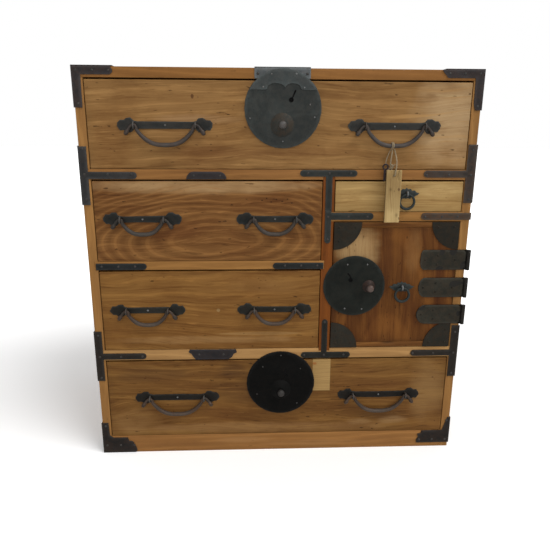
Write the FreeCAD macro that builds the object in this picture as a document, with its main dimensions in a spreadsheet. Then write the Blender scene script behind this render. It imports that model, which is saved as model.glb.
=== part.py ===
"""Small tansu chest: joined wooden case, five drawers, one hinged door, iron fittings and a wooden key tag.

Millimetres, +Z up, front towards -Y, origin at the middle of the underside of the case.
Every driving size is a cell of the sheet "Sizes"; each object takes its sizes from those cells.
"""
import FreeCAD, Part
import math
import os

from FreeCAD import Vector

document = FreeCAD.newDocument("small_tansu_chest")
sheet = document.addObject("Spreadsheet::Sheet", "Sizes")

SIZES = {
    # case
    "case_depth": 350, "side_thick": 14, "top_thick": 15, "back_thick": 8, "groove_deep": 5,
    "finger_pitch": 70, "base_height": 32, "base_thick": 18, "bottom_thick": 14, "bearer_wide": 30,
    # bays, from the base upwards, and the boards between them
    "bottom_bay": 140, "lower_shelf_thick": 18, "lower_left_bay": 136, "left_rail_thick": 14,
    "upper_left_bay": 127.5, "upper_shelf_thick": 15.5, "top_bay": 130,
    "door_bay": 213, "right_rail_thick": 15,
    "left_bay_width": 352, "divider_thick": 18, "right_bay_width": 202,
    # drawers
    "front_thick": 16, "front_proud": 0.3, "edge_gap": 1.2, "head_gap": 2.5, "run_gap": 0.5,
    "wall_thick": 9, "floor_thick": 6, "drawer_back_gap": 12, "wall_drop": 4,
    # irons
    "iron_thick": 1.5, "side_iron_width": 11, "corner_reach": 57, "corner_leg": 57, "wrap_deep": 42,
    "bottom_corner_height": 29, "strap_height": 10.5, "strap_reach": 80, "end_leg_half": 43,
    "tee_half": 44, "tee_clear": 0.7, "tee_stem": 65, "mid_tee_reach": 76, "stem_width": 9,
    "halfmoon_width": 62, "halfmoon_offset": 112, "lower_moon_width": 78,
    "upper_moon_high": 11.5, "strike_width": 82, "tee_foot_gap": 3, "mid_stem": 40,
    "left_level": -2, "right_level": 1, "lower_level": -2, "strap_level": -1, "top_tee_level": 2,
    "foot_tee_level": -3,
    # nails
    "nail_head": 2.0, "nail_dome": 0.9, "nail_shank": 0.8, "nail_long": 8,
    # door and hinges
    "door_thick": 16, "batten_wide": 9, "door_corner": 44, "hinge_long": 33, "hinge_reach": 74,
    "hinge_low": 231.5, "hinge_pitch": 46.25, "hinge_clear": 0.7, "barrel_radius": 3.2,
    "pin_radius": 1.5, "pin_gap": 0.05, "knuckle_gap": 0.3, "case_leaf_deep": 42,
    # locks
    "lock_radius": 57, "door_lock_radius": 50, "lock_wide": 60, "lock_high": 75, "lock_deep": 12,
    "bolt_wide": 16, "bolt_deep": 5, "bolt_travel": 6, "bolt_gap": 0.3, "mortise_spare": 1,
    "mortise_ease": 0.2,
    "boss_radius": 17, "boss_high": 6, "boss_tip": 5, "knob_radius": 5.5, "stem_radius": 2.5,
    "stem_gap": 0.3, "stem_in": 4, "knob_travel": 3, "keyhole_radius": 2.4, "key_slot": 14,
    "key_slot_wide": 1.8, "key_right": 12, "key_up": 12.5, "key_cut": 4, "lock_shift": 3,
    "cap_edge_rise": 27, "cap_lobe": 15, "cap_lobe_shift": 13.5, "cap_lobe_drop": 7,
    "top_lock_drop": 41.5, "bottom_lock_drop": 44, "door_lock_height": 107.6,
    "top_knob_drop": 23, "bottom_knob_drop": 11.5, "door_lock_inset": 36.6, "door_knob_shift": 23.4,
    # bail handles
    "large_plate": 140, "small_plate": 120, "plate_band": 10, "plate_lobe": 11.5, "large_eye": 45,
    "small_eye": 33, "large_drop": 28.5, "small_drop": 23, "rod_radius": 2.5, "eye_wire": 1.3,
    "rod_gap": 0.6, "shank_gap": 0.15, "tip_out": 14, "tip_drop": 12, "tip_radius": 3.3, "peak_bend": 6,
    "large_handle_offset": 171, "small_handle_inset": 74, "top_eye_height": 65,
    "upper_eye_height": 68, "lower_eye_height": 70, "bottom_eye_height": 73, "shank_long": 19,
    # ring pulls
    "ring_radius": 11.2, "ring_rod": 2.1, "leaf_half": 20.5, "leaf_high": 16,
    "door_ring_height": 105, "small_ring_height": 28, "small_ring_shift": 11,
    "pull_lock_gap": 7.4, "pull_hinge_gap": 7,
    # tag
    "tag_wide": 23, "tag_long": 79, "tag_thick": 6, "tag_shift": -0.5, "tag_out": 9, "tag_drop": 36,
    "tag_hole_down": 8, "tag_hole_gap": 0.6, "twine_radius": 0.9, "loop_gap": 0.5, "loop_shift": -2.8,
    "key_bow": 3.7, "key_wire": 1.3, "key_long": 17.2, "key_wide": 5, "key_thick": 2.2, "key_shift": -12.2,
    "key_back": 1.9, "key_drop": 31.5, "string_share": 0.85,
}

for row, (alias, size) in enumerate(SIZES.items(), start=1):
    sheet.set(f"A{row}", alias)
    sheet.set(f"B{row}", str(size))
    sheet.setAlias(f"B{row}", alias)
document.recompute()


class Size:
    """A length that keeps both its sheet expression and its value."""

    def __init__(self, text, number):
        self.text = text
        self.number = float(number)

    def joined(self, sign, other, number):
        other = other if isinstance(other, Size) else Size(repr(float(other)), other)
        return Size(f"({self.text} {sign} {other.text})", number)

    def __add__(self, other):
        return self.joined("+", other, self.number + float(other))

    def __radd__(self, other):
        return self + other

    def __sub__(self, other):
        return self.joined("-", other, self.number - float(other))

    def __rsub__(self, other):
        return -self + other

    def __mul__(self, other):
        return self.joined("*", other, self.number * float(other))

    def __rmul__(self, other):
        return self * other

    def __truediv__(self, other):
        return self.joined("/", other, self.number / float(other))

    def __neg__(self):
        return Size(f"(0 - {self.text})", -self.number)

    def __float__(self):
        return self.number


class Sheet:
    """The sheet's cells as attributes."""

    def __getattr__(self, alias):
        return Size(f"Sizes.{alias}", sheet.get(alias))


c = Sheet()
nodes = {}


def size_of(value):
    return value if isinstance(value, Size) else Size(repr(float(value)), value)


def bind(thing, prop, value):
    thing.setExpression(prop, size_of(value).text)


def place(thing, x, y, z):
    bind(thing, "Placement.Base.x", x)
    bind(thing, "Placement.Base.y", y)
    bind(thing, "Placement.Base.z", z)


def named(kind, label):
    thing = document.addObject(kind, label)
    thing.Label = label
    return thing


def box(label, x, y, z):
    """A box from three (low, high) pairs."""
    block = named("Part::Box", label)
    bind(block, "Length", size_of(x[1]) - x[0])
    bind(block, "Width", size_of(y[1]) - y[0])
    bind(block, "Height", size_of(z[1]) - z[0])
    place(block, x[0], y[0], z[0])
    return block


AXIS_TURNS = {
    "+Z": FreeCAD.Rotation(),
    "-Y": FreeCAD.Rotation(Vector(1, 0, 0), 90),
    "+Y": FreeCAD.Rotation(Vector(1, 0, 0), -90),
    "+X": FreeCAD.Rotation(Vector(0, 1, 0), 90),
}


def rod(label, radius, length, at, axis="+Z"):
    """A cylinder that starts at a point and runs along an axis."""
    bar = named("Part::Cylinder", label)
    bar.Placement = FreeCAD.Placement(Vector(), AXIS_TURNS[axis])
    bind(bar, "Radius", radius)
    bind(bar, "Height", length)
    place(bar, *at)
    return bar


def cone(label, radius, tip, length, at, axis="-Y"):
    point = named("Part::Cone", label)
    point.Placement = FreeCAD.Placement(Vector(), AXIS_TURNS[axis])
    bind(point, "Radius1", radius)
    bind(point, "Radius2", tip)
    bind(point, "Height", length)
    place(point, *at)
    return point


def ring(label, radius, wire, at, axis="+X"):
    loop = named("Part::Torus", label)
    loop.Placement = FreeCAD.Placement(Vector(), AXIS_TURNS[axis])
    bind(loop, "Radius1", radius)
    bind(loop, "Radius2", wire)
    place(loop, *at)
    return loop


def fuse(label, pieces):
    whole = named("Part::MultiFuse", label)
    whole.Shapes = pieces
    whole.Refine = True
    return whole


def common(label, pieces):
    whole = named("Part::MultiCommon", label)
    whole.Shapes = pieces
    return whole


def cut(label, base, tools):
    whole = named("Part::Cut", label)
    whole.Base = base
    whole.Tool = tools[0] if len(tools) == 1 else group(label + "_tools", tools)
    return whole


def group(label, pieces):
    whole = named("Part::Compound", label)
    whole.Links = pieces
    return whole


def shaped(label, shape):
    """A feature for a shape that no primitive gives."""
    thing = named("Part::Feature", label)
    thing.Shape = shape
    return thing


def node(thing):
    nodes[thing.Label] = thing
    return thing


# ---- planes and levels -------------------------------------------------------------------------
case_width = 2 * c.side_thick + c.left_bay_width + c.divider_thick + c.right_bay_width
half_width = case_width / 2
inner = half_width - c.side_thick
front = -c.case_depth / 2
rear = c.case_depth / 2
back_face = rear - c.back_thick
face = front - c.front_proud

bottom_floor = c.base_height
bottom_ceiling = bottom_floor + c.bottom_bay
lower_floor = bottom_ceiling + c.lower_shelf_thick
lower_ceiling = lower_floor + c.lower_left_bay
upper_floor = lower_ceiling + c.left_rail_thick
upper_ceiling = upper_floor + c.upper_left_bay
top_floor = upper_ceiling + c.upper_shelf_thick
top_under = top_floor + c.top_bay
case_height = top_under + c.top_thick
door_ceiling = lower_floor + c.door_bay
small_floor = door_ceiling + c.right_rail_thick
left_end = -inner + c.left_bay_width
right_start = left_end + c.divider_thick
middle = (left_end + right_start) / 2


# ---- case boards -------------------------------------------------------------------------------
bottom_under = bottom_floor - c.bottom_thick


def finger_slots(label, side, odd):
    """Blocks that clear every other finger of a corner joint between the top and one side."""
    outer = side * half_width
    low, high = (outer, outer - side * c.side_thick) if side < 0 else (inner, half_width)
    slots = []
    count = round(float(c.case_depth / c.finger_pitch))
    for number in range(odd, count, 2):
        start = front + c.case_depth * number / count
        end = front + c.case_depth * (number + 1) / count
        slots.append(box(f"{label}_{number}", (low, high), (start, end), (top_under, case_height)))
    return slots


top_blank = box("top_blank", (-half_width, half_width), (front, rear), (top_under, case_height))
node(cut("top_board", top_blank, finger_slots("top_slot_left", -1, 1) + finger_slots("top_slot_right", 1, 1)))

GROOVES = {-1: ("left", "left_side"), 1: ("right", "right_side")}
for side, (word, label) in GROOVES.items():
    low, high = (-half_width, -inner) if side < 0 else (inner, half_width)
    groove = (-inner - c.groove_deep, -inner) if side < 0 else (inner, inner + c.groove_deep)
    blank = box(f"{word}_blank", (low, high), (front, rear), (0, case_height))
    levels = [(bottom_under, bottom_floor), (bottom_ceiling, lower_floor), (upper_ceiling, top_floor)]
    levels.append((lower_ceiling, upper_floor) if side < 0 else (door_ceiling, small_floor))
    tools = finger_slots(f"{word}_slot", side, 0)
    for number, level in enumerate(levels):
        ahead = front + c.base_thick if number == 0 else front
        tools.append(box(f"{word}_groove_{number}", groove, (ahead, back_face), level))
    node(cut(label, blank, tools))

housed = (-inner - c.groove_deep, inner + c.groove_deep)
node(group("base_rail", [
    box("base_front", (-inner, inner), (front, front + c.base_thick), (0, c.base_height)),
    box("base_bearer", (-c.bearer_wide / 2, c.bearer_wide / 2), (front + c.base_thick, back_face),
        (0, bottom_under)),
]))
node(box("bottom_board", housed, (front + c.base_thick, back_face), (bottom_under, bottom_floor)))

board_count = 4
back_boards = []
for number in range(board_count):
    start = -inner + 2 * inner * number / board_count
    end = -inner + 2 * inner * (number + 1) / board_count
    back_boards.append(box(f"back_board_{number}", (start, end), (back_face, rear), (0, top_under)))
node(group("back_boards", back_boards))


def mortise(label, low, high, depth, floor):
    """Room for a lock bolt behind the front of a drawer or the door."""
    return box(label, (low - spare, high + spare), (bolt_front - spare, bolt_front + c.bolt_deep + spare),
               (floor, floor + depth))


bolt_front = face + c.front_thick + (c.lock_deep - c.bolt_deep) / 2
bolt_depth = c.bolt_travel + c.mortise_spare
spare = c.bolt_gap + c.mortise_ease
lock_x = c.lock_shift
bolt_x = (lock_x - c.bolt_wide / 2, lock_x + c.bolt_wide / 2)
divider_slot = (left_end, right_start)


def shelf(label, level, mortises=(), slots=()):
    blank = box(label + "_blank", housed, (front, back_face), level)
    return node(cut(label, blank, [*mortises, *slots]))


top_mortise = mortise("top_mortise", *bolt_x, bolt_depth, top_under)
nodes["top_board"] = cut("top_board_mortised", nodes["top_board"], [top_mortise])
nodes["top_board"].Base.Label = "top_board_fingers"
nodes["top_board"].Label = "top_board"

shelf("upper_shelf", (upper_ceiling, top_floor),
      slots=[box("divider_top_slot", divider_slot, (front, back_face),
                 (upper_ceiling, upper_ceiling + c.groove_deep))])
shelf("lower_shelf", (bottom_ceiling, lower_floor),
      [mortise("bottom_mortise", *bolt_x, bolt_depth, bottom_ceiling)],
      [box("divider_foot_slot", divider_slot, (front, back_face),
           (lower_floor - c.groove_deep, lower_floor))])

door_bolt_z = lower_floor + c.door_lock_height
divider_blank = box("divider_blank", divider_slot, (front, back_face),
                    (lower_floor - c.groove_deep, upper_ceiling + c.groove_deep))
divider_tools = [
    box("left_rail_slot", (left_end, left_end + c.groove_deep), (front, back_face),
        (lower_ceiling, upper_floor)),
    box("right_rail_slot", (right_start - c.groove_deep, right_start), (front, back_face),
        (door_ceiling, small_floor)),
    box("door_mortise", (right_start - bolt_depth, right_start),
        (bolt_front - spare, bolt_front + c.bolt_deep + spare),
        (door_bolt_z - c.bolt_wide / 2 - spare, door_bolt_z + c.bolt_wide / 2 + spare)),
]
node(cut("divider", divider_blank, divider_tools))
node(group("mid_rails", [
    box("left_rail", (-inner - c.groove_deep, left_end + c.groove_deep), (front, back_face),
        (lower_ceiling, upper_floor)),
    box("right_rail", (right_start - c.groove_deep, inner + c.groove_deep), (front, back_face),
        (door_ceiling, small_floor)),
]))


# ---- irons and nails ---------------------------------------------------------------------------
def bar(label, x, z, at=front, layer=0):
    """A flat iron on the front, given by its x and z ranges; layer 1 lies on layer 0."""
    return box(label, x, (at - c.iron_thick * (layer + 1), at - c.iron_thick * layer), z)


def disc(label, x, z, radius, at=front, layer=0):
    return rod(label, radius, c.iron_thick, (x, at - c.iron_thick * layer, z), "-Y")


def side_wrap(label, side, z):
    """The part of an iron that turns round the corner onto the side of the case."""
    return box(label, side_range(side, 0, -c.iron_thick), (front - c.iron_thick, front + c.wrap_deep), z)


def side_range(side, start, end):
    """Two distances inwards from one side of the case, as a low and high x."""
    near = side * (half_width - start)
    far = side * (half_width - end)
    return (near, far) if float(near) < float(far) else (far, near)


def corner_iron(word, side, low):
    """Angle iron on a corner of the front, turned round the side and, at the top, over the top."""
    if low:
        flat = (0, c.bottom_corner_height)
        leg = (0, c.corner_leg)
        wrap = leg
    else:
        flat = (case_height - c.side_iron_width, case_height)
        leg = (case_height - c.corner_leg, case_height)
        wrap = (leg[0], case_height + c.iron_thick)
    pieces = [
        bar(word + "_flat", side_range(side, 0, c.corner_reach), flat),
        bar(word + "_leg", side_range(side, 0, c.side_iron_width), leg),
        side_wrap(word + "_wrap", side, wrap),
    ]
    if not low:
        pieces.append(box(word + "_over", side_range(side, -c.iron_thick, c.corner_reach),
                          (front - c.iron_thick, front + c.wrap_deep),
                          (case_height, case_height + c.iron_thick)))
    return fuse(word, pieces)


def strap(word, x, z_middle, round_at, extra=()):
    """A narrow strap with one or two round ends, and whatever is forged onto it."""
    half = c.strap_height / 2
    pieces = [bar(word + "_flat", x, (z_middle - half, z_middle + half))]
    for number, x_end in enumerate(round_at):
        pieces.append(disc(f"{word}_end_{number}", x_end, z_middle, half))
    return fuse(word, [*pieces, *extra])


def end_tee(word, side, z_middle, leg_half):
    """A strap at the end of a rail, with a leg up and down the side board and a wrap round it."""
    reach = c.strap_reach - c.strap_height / 2
    extra = []
    if leg_half is not None:
        leg = (z_middle - leg_half, z_middle + leg_half)
        extra.append(bar(word + "_leg", side_range(side, 0, c.side_iron_width), leg))
        extra.append(side_wrap(word + "_wrap", side, leg))
    else:
        half = c.strap_height / 2
        extra.append(side_wrap(word + "_wrap", side, (z_middle - half, z_middle + half)))
    return strap(word, side_range(side, 0, reach), z_middle, [side * (half_width - reach)], extra)


def stem(word, x, z, round_z):
    """A vertical strap on the divider with a round end."""
    half = c.stem_width / 2
    return [bar(word + "_bar", (x - half, x + half), z), disc(word + "_tip", x, round_z, half)]


def half_moon(word, x, width, z, low):
    """A plate with a straight edge and two rounded corners on one long side."""
    radius = z[1] - z[0]
    left, right = x - width / 2, x + width / 2
    centre = z[0] if low else z[1]
    body = fuse(word + "_body", [
        bar(word + "_flat", (left + radius, right - radius), z),
        disc(word + "_left", left + radius, centre, radius),
        disc(word + "_right", right - radius, centre, radius),
    ])
    return common(word, [body, bar(word + "_band", (left, right), z)])


corner_pieces = [corner_iron(f"{height}_{word}_corner", side, height == "low")
                 for height in ("high", "low") for word, side in (("left", -1), ("right", 1))]
node(group("corner_irons", corner_pieces))

upper_mid = (upper_ceiling + top_floor) / 2
lower_mid = (bottom_ceiling + lower_floor) / 2
left_mid = (lower_ceiling + upper_floor) / 2
right_mid = (door_ceiling + small_floor) / 2
upper_left, upper_right = upper_mid + c.left_level, upper_mid + c.right_level
lower_tee = lower_mid + c.lower_level
left_strap = left_mid + c.strap_level
top_tee, foot_tee = upper_mid + c.top_tee_level, lower_mid + c.foot_tee_level
tee_end = c.tee_half - c.strap_height / 2
# The foot tee's round ends just clear the plate of the bottom lock.
lock_reach = float(c.lock_radius + c.strap_height / 2 + c.tee_clear)
lock_rise = float(foot_tee - (bottom_ceiling - c.bottom_lock_drop))
foot_end = middle - lock_x - math.sqrt(max(lock_reach ** 2 - lock_rise ** 2, 0))
foot_stem_top = lower_mid + c.tee_stem - c.stem_width
mid_tee_end = middle + c.mid_tee_reach - c.strap_height
mid_stem_foot = right_mid - c.mid_stem
left_reach = c.strap_reach - c.side_thick - c.strap_height / 2
rail_pieces = [
    end_tee("upper_left_tee", -1, upper_left, c.end_leg_half),
    end_tee("upper_right_tee", 1, upper_right, c.end_leg_half),
    end_tee("lower_left_tee", -1, lower_tee, c.end_leg_half),
    end_tee("lower_right_tee", 1, lower_tee, c.end_leg_half),
    end_tee("mid_right_strap", 1, right_mid, None),
    strap("mid_left_strap", (-inner, -inner + left_reach), left_strap, [-inner + left_reach]),
    strap("mid_inner_strap", (left_end - left_reach, left_end), left_strap, [left_end - left_reach]),
    strap("divider_top_tee", (middle - tee_end, middle + tee_end), top_tee,
          [middle - tee_end, middle + tee_end],
          [bar("divider_top_stem", (middle - c.stem_width / 2, middle + c.stem_width / 2),
               (small_floor + c.tee_foot_gap, upper_mid))]),
    strap("divider_mid_tee", (middle - c.stem_width / 2, mid_tee_end), right_mid, [mid_tee_end],
          stem("divider_mid_stem", middle, (mid_stem_foot, small_floor + 1), mid_stem_foot)),
    strap("divider_foot_tee", (middle - foot_end, middle + foot_end), foot_tee,
          [middle - foot_end, middle + foot_end],
          stem("divider_foot_stem", middle, (lower_mid, foot_stem_top), foot_stem_top)),
    half_moon("upper_moon", -c.halfmoon_offset, c.halfmoon_width,
              (upper_ceiling, upper_ceiling + c.upper_moon_high), True),
    half_moon("lower_moon", -c.halfmoon_offset, c.lower_moon_width, (bottom_ceiling, lower_floor), False),
]
strike_middle = lock_x - 1
strike_x = (strike_middle - c.strike_width / 2, strike_middle + c.strike_width / 2)
rail_pieces.append(fuse("strike_plate", [
    bar("strike_face", strike_x, (top_under, case_height)),
    box("strike_over", strike_x, (front - c.iron_thick, front + c.wrap_deep / 2),
        (case_height, case_height + c.iron_thick)),
]))
node(group("rail_irons", rail_pieces))


def nail_shape(direction):
    """A hand-made nail: a low domed head on a shank, driven along a direction from the origin."""
    head_radius, dome = float(c.nail_head), float(c.nail_dome)
    sphere_radius = (head_radius ** 2 + dome ** 2) / (2 * dome)
    ball = Part.makeSphere(sphere_radius, direction * (sphere_radius - dome))
    keep = Part.makeCylinder(head_radius * 2, dome * 2, direction * (-dome * 2), direction)
    shank = Part.makeCylinder(float(c.nail_shank), float(c.nail_long), Vector(), direction)
    return ball.common(keep).fuse(shank).removeSplitter()


def nails(label, spots, direction=Vector(0, 1, 0)):
    pattern = nail_shape(direction)
    copies = [pattern.translated(Vector(*(float(value) for value in spot))) for spot in spots]
    return shaped(label, Part.makeCompound(copies))


# Distances of the nails from the outer end, or from the middle, of the iron they hold.
RIGHT_STRAP_NAILS = (20, 45, 72)
LEFT_STRAP_NAILS = (6, 32, 58)
TEE_NAILS = (-33, 0, 33)
MID_TEE_NAILS = (0, 32, 62)
MID_STEM_NAIL, FOOT_STEM_NAIL = -36, 55
MOON_NAILS = (-20, 20)
MOON_NAIL_RISE = 6
STRIKE_INSET, STRIKE_RISE = 5, 7
WRAP_EDGE = 6

iron_face = front - c.iron_thick
inset = c.side_iron_width / 2
spots = []
for side in (-1, 1):
    for across in (inset, c.corner_reach / 2, c.corner_reach - inset):
        spots.append((side * (half_width - across), iron_face, case_height - inset))
        spots.append((side * (half_width - across), iron_face, c.bottom_corner_height / 2))
    spots.append((side * (half_width - inset), iron_face, case_height - c.corner_leg + inset))
    spots.append((side * (half_width - inset), iron_face, c.corner_leg - inset))
    for level in (upper_mid, lower_tee):
        for along in (inset, c.strap_reach / 2, c.strap_reach - c.strap_height / 2):
            spots.append((side * (half_width - along), iron_face, level))
        for up in (-1, 1):
            spots.append((side * (half_width - inset), iron_face, level + up * (c.end_leg_half - inset)))
spots += [(half_width - along, iron_face, right_mid) for along in RIGHT_STRAP_NAILS]
spots += [(-inner + along, iron_face, left_strap) for along in LEFT_STRAP_NAILS]
spots += [(left_end - along, iron_face, left_strap) for along in LEFT_STRAP_NAILS]
for level in (top_tee, foot_tee):
    spots += [(middle + along, iron_face, level) for along in TEE_NAILS]
spots += [(middle + along, iron_face, right_mid) for along in MID_TEE_NAILS]
spots += [(middle, iron_face, right_mid + MID_STEM_NAIL), (middle, iron_face, lower_mid + FOOT_STEM_NAIL)]
for level in (upper_ceiling + MOON_NAIL_RISE, lower_mid):
    spots += [(-c.halfmoon_offset + along, iron_face, level) for along in MOON_NAILS]
spots += [(strike_middle + side * (c.strike_width / 2 - STRIKE_INSET), iron_face, top_under + STRIKE_RISE)
          for side in (-1, 1)]
front_nails = nails("front_nails", spots)

side_spots = {-1: [], 1: []}
for side in (-1, 1):
    levels = [case_height - c.corner_leg / 2, c.corner_leg / 2]
    levels += [level + up * c.end_leg_half / 2 for level in (upper_mid, lower_tee) for up in (-1, 1)]
    for level in levels:
        for back in (c.wrap_deep / 2, c.wrap_deep - WRAP_EDGE):
            side_spots[side].append((side * (half_width + c.iron_thick), front + back, level))
left_nails = nails("left_nails", side_spots[-1], Vector(1, 0, 0))
right_nails = nails("right_nails", side_spots[1], Vector(-1, 0, 0))
node(group("case_nails", [front_nails, left_nails, right_nails]))

# ---- hinges ------------------------------------------------------------------------------------
pin_x = half_width + c.barrel_radius
pin_y = front - c.barrel_radius
knuckle = c.hinge_long / 3
hinge_floors = [c.hinge_low + c.hinge_pitch * number for number in range(3)]
pin_hole = c.pin_radius + c.pin_gap
clear = c.barrel_radius + c.knuckle_gap


def barrel(label, floor, ceiling):
    return rod(label, c.barrel_radius, ceiling - floor, (pin_x, pin_y, floor))


def case_leaf(label, floor):
    """Leaf on the side of the case; it holds the middle knuckle."""
    half_gap = c.knuckle_gap / 2
    low, high = floor + knuckle + half_gap, floor + 2 * knuckle - half_gap
    sheet_leaf = box(label + "_leaf", (half_width, half_width + c.iron_thick),
                     (front + c.knuckle_gap, front + c.case_leaf_deep), (floor, floor + c.hinge_long))
    neck = box(label + "_neck", (half_width, half_width + c.iron_thick), (pin_y, front + 2), (low, high))
    solid = fuse(label + "_solid", [sheet_leaf, neck, barrel(label + "_knuckle", low, high)])
    hole = rod(label + "_hole", pin_hole, c.hinge_long, (pin_x, pin_y, floor))
    return cut(label, solid, [hole])


def door_leaf(label, floor):
    """Leaf on the front of the door; it holds the outer two knuckles and has a round free end."""
    half_gap = c.knuckle_gap / 2
    radius = c.hinge_long / 2
    end = half_width - c.hinge_reach + radius
    leaf_back = face
    pieces = [
        box(label + "_leaf", (end, half_width - c.knuckle_gap), (leaf_back - c.iron_thick, leaf_back),
            (floor, floor + c.hinge_long)),
        rod(label + "_round", radius, c.iron_thick, (end, leaf_back, floor + radius), "-Y"),
    ]
    ranges = [(floor, floor + knuckle - half_gap), (floor + 2 * knuckle + half_gap, floor + c.hinge_long)]
    for number, (low, high) in enumerate(ranges):
        pieces.append(box(f"{label}_neck_{number}", (half_width - 2, pin_x),
                          (leaf_back - c.iron_thick, leaf_back), (low, high)))
        pieces.append(barrel(f"{label}_knuckle_{number}", low, high))
    hole = rod(label + "_hole", pin_hole, c.hinge_long, (pin_x, pin_y, floor))
    return cut(label, fuse(label + "_solid", pieces), [hole])


case_leaves = [case_leaf(f"case_leaf_{number}", floor) for number, floor in enumerate(hinge_floors)]
pins = [rod(f"hinge_pin_{number}", c.pin_radius, c.hinge_long, (pin_x, pin_y, floor))
        for number, floor in enumerate(hinge_floors)]
node(group("hinge_case_leaves", case_leaves + pins))
node(group("hinge_door_leaves", [door_leaf(f"door_leaf_{n}", floor) for n, floor in enumerate(hinge_floors)]))

# ---- locks -------------------------------------------------------------------------------------
def lock(prefix, centre, knob, radius, board, bolt_along, keep=None, over=()):
    """A round lock: plate with a boss, works behind the board, a press knob and its bolt.

    centre and knob are (x, z); board is (x range, z range) of the room for the works;
    bolt_along is "+Z" or "-X"; keep limits the plate to a box; over is riveted on the plate.
    """
    plate = disc(prefix + "_disc", centre[0], centre[1], radius, face)
    if keep is not None:
        plate = common(prefix + "_kept", [plate, keep])
    boss = cone(prefix + "_boss", c.boss_radius, c.boss_tip, c.boss_high,
                (knob[0], face - c.iron_thick, knob[1]))
    solid = fuse(prefix + "_solid", [plate, boss])
    stem_start = face - c.iron_thick - c.boss_high - 1
    stem_hole = rod(prefix + "_stem_hole", c.stem_radius + c.stem_gap, face + 1 - stem_start,
                    (knob[0], stem_start, knob[1]), "+Y")
    key = keyhole(prefix + "_key", centre)
    if over:
        node(group(prefix + "_plate", [cut(prefix + "_base", solid, [stem_hole, key]), *over]))
    else:
        node(cut(prefix + "_plate", solid, [stem_hole, key]))

    works_x, works_z = board
    works_y = (face + c.front_thick, face + c.front_thick + c.lock_deep)
    case = box(prefix + "_works_case", works_x, works_y, works_z)
    bolt_y = (bolt_front, bolt_front + c.bolt_deep)
    room_y = (bolt_front - c.bolt_gap, bolt_front + c.bolt_deep + c.bolt_gap)
    half = c.bolt_wide / 2
    if bolt_along == "+Z":
        top = works_z[1]
        bolt = box(prefix + "_bolt", bolt_x, bolt_y, (top - 2 * c.bolt_wide, top))
        room = box(prefix + "_bolt_room", (lock_x - half - c.bolt_gap, lock_x + half + c.bolt_gap), room_y,
                   (top - 2 * c.bolt_wide - c.bolt_gap, top + 1))
    else:
        end = works_x[0]
        bolt = box(prefix + "_bolt", (end, end + 2 * c.bolt_wide), bolt_y,
                   (centre[1] - half, centre[1] + half))
        room = box(prefix + "_bolt_room", (end - 1, end + 2 * c.bolt_wide + c.bolt_gap), room_y,
                   (centre[1] - half - c.bolt_gap, centre[1] + half + c.bolt_gap))
    node(cut(prefix + "_works", case, [room, stem_room(prefix, knob)]))
    node(bolt)

    ball_y = face - c.iron_thick - c.boss_high - c.knob_travel - c.knob_radius
    ball = named("Part::Sphere", prefix + "_knob_ball")
    bind(ball, "Radius", c.knob_radius)
    place(ball, knob[0], ball_y, knob[1])
    shaft = rod(prefix + "_knob_stem", c.stem_radius, works_y[0] + c.stem_in - ball_y,
                (knob[0], ball_y, knob[1]), "+Y")
    node(fuse(prefix + "_knob", [ball, shaft]))


def stem_room(prefix, knob):
    """Hole through a board or the works for a knob's stem, with its travel."""
    length = c.front_thick + c.stem_in + c.knob_travel + 1
    return rod(prefix + "_stem_room", c.stem_radius + c.stem_gap, length, (knob[0], face, knob[1]), "+Y")


def keyhole(label, centre):
    """Round hole with a slot above it, to the right of a lock's centre."""
    x, z = centre[0] + c.key_right, centre[1] + c.key_up
    hole = rod(label + "_round", c.keyhole_radius, 2 * c.key_cut, (x, face - c.key_cut, z), "+Y")
    slot = box(label + "_slot", (x, x + c.key_slot_wide), (face - c.key_cut, face + c.key_cut),
               (z, z + c.key_slot))
    return fuse(label, [hole, slot])


top_lock = (lock_x, top_under - c.top_lock_drop)
top_knob = (lock_x - 1, top_lock[1] - c.top_knob_drop)
bottom_lock = (lock_x, bottom_ceiling - c.bottom_lock_drop)
bottom_knob = (lock_x, bottom_lock[1] - c.bottom_knob_drop)
door_lock = (right_start + c.door_lock_inset, door_bolt_z)
door_knob = (door_lock[0] + c.door_knob_shift, door_lock[1])

# ---- bail handles ------------------------------------------------------------------------------
eye_radius = c.rod_radius + c.rod_gap + c.eye_wire
eye_y = face - c.iron_thick - eye_radius - c.eye_wire


def rounded_path(points, radii):
    """Edges of straight runs joined by tangent arcs, one radius for each inner point."""
    edges = []
    start = points[0]
    for before, corner, after, radius in zip(points, points[1:], points[2:], radii):
        inward = (before - corner).normalize()
        outward = (after - corner).normalize()
        half_turn = (math.pi - inward.getAngle(outward)) / 2
        reach = radius * math.tan(half_turn)
        begin = corner + inward * reach
        end = corner + outward * reach
        bisector = (inward + outward).normalize()
        centre = corner + bisector * (radius / math.cos(half_turn))
        apex = centre - bisector * radius
        edges.append(Part.LineSegment(start, begin).toShape())
        edges.append(Part.Arc(begin, apex, end).toShape())
        start = end
    edges.append(Part.LineSegment(start, points[-1]).toShape())
    return edges


def swept(edges, radius):
    """A round bar along tangent edges."""
    path = Part.Wire(edges)
    first = edges[0]
    direction = first.tangentAt(first.FirstParameter)
    profile = Part.Wire([Part.makeCircle(radius, first.valueAt(first.FirstParameter), direction)])
    return path.makePipeShell([profile], True, True)


PEAK_ROUNDS = 12
BOW_SHARE = 0.42
BEND_SHARE = 0.8


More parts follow.
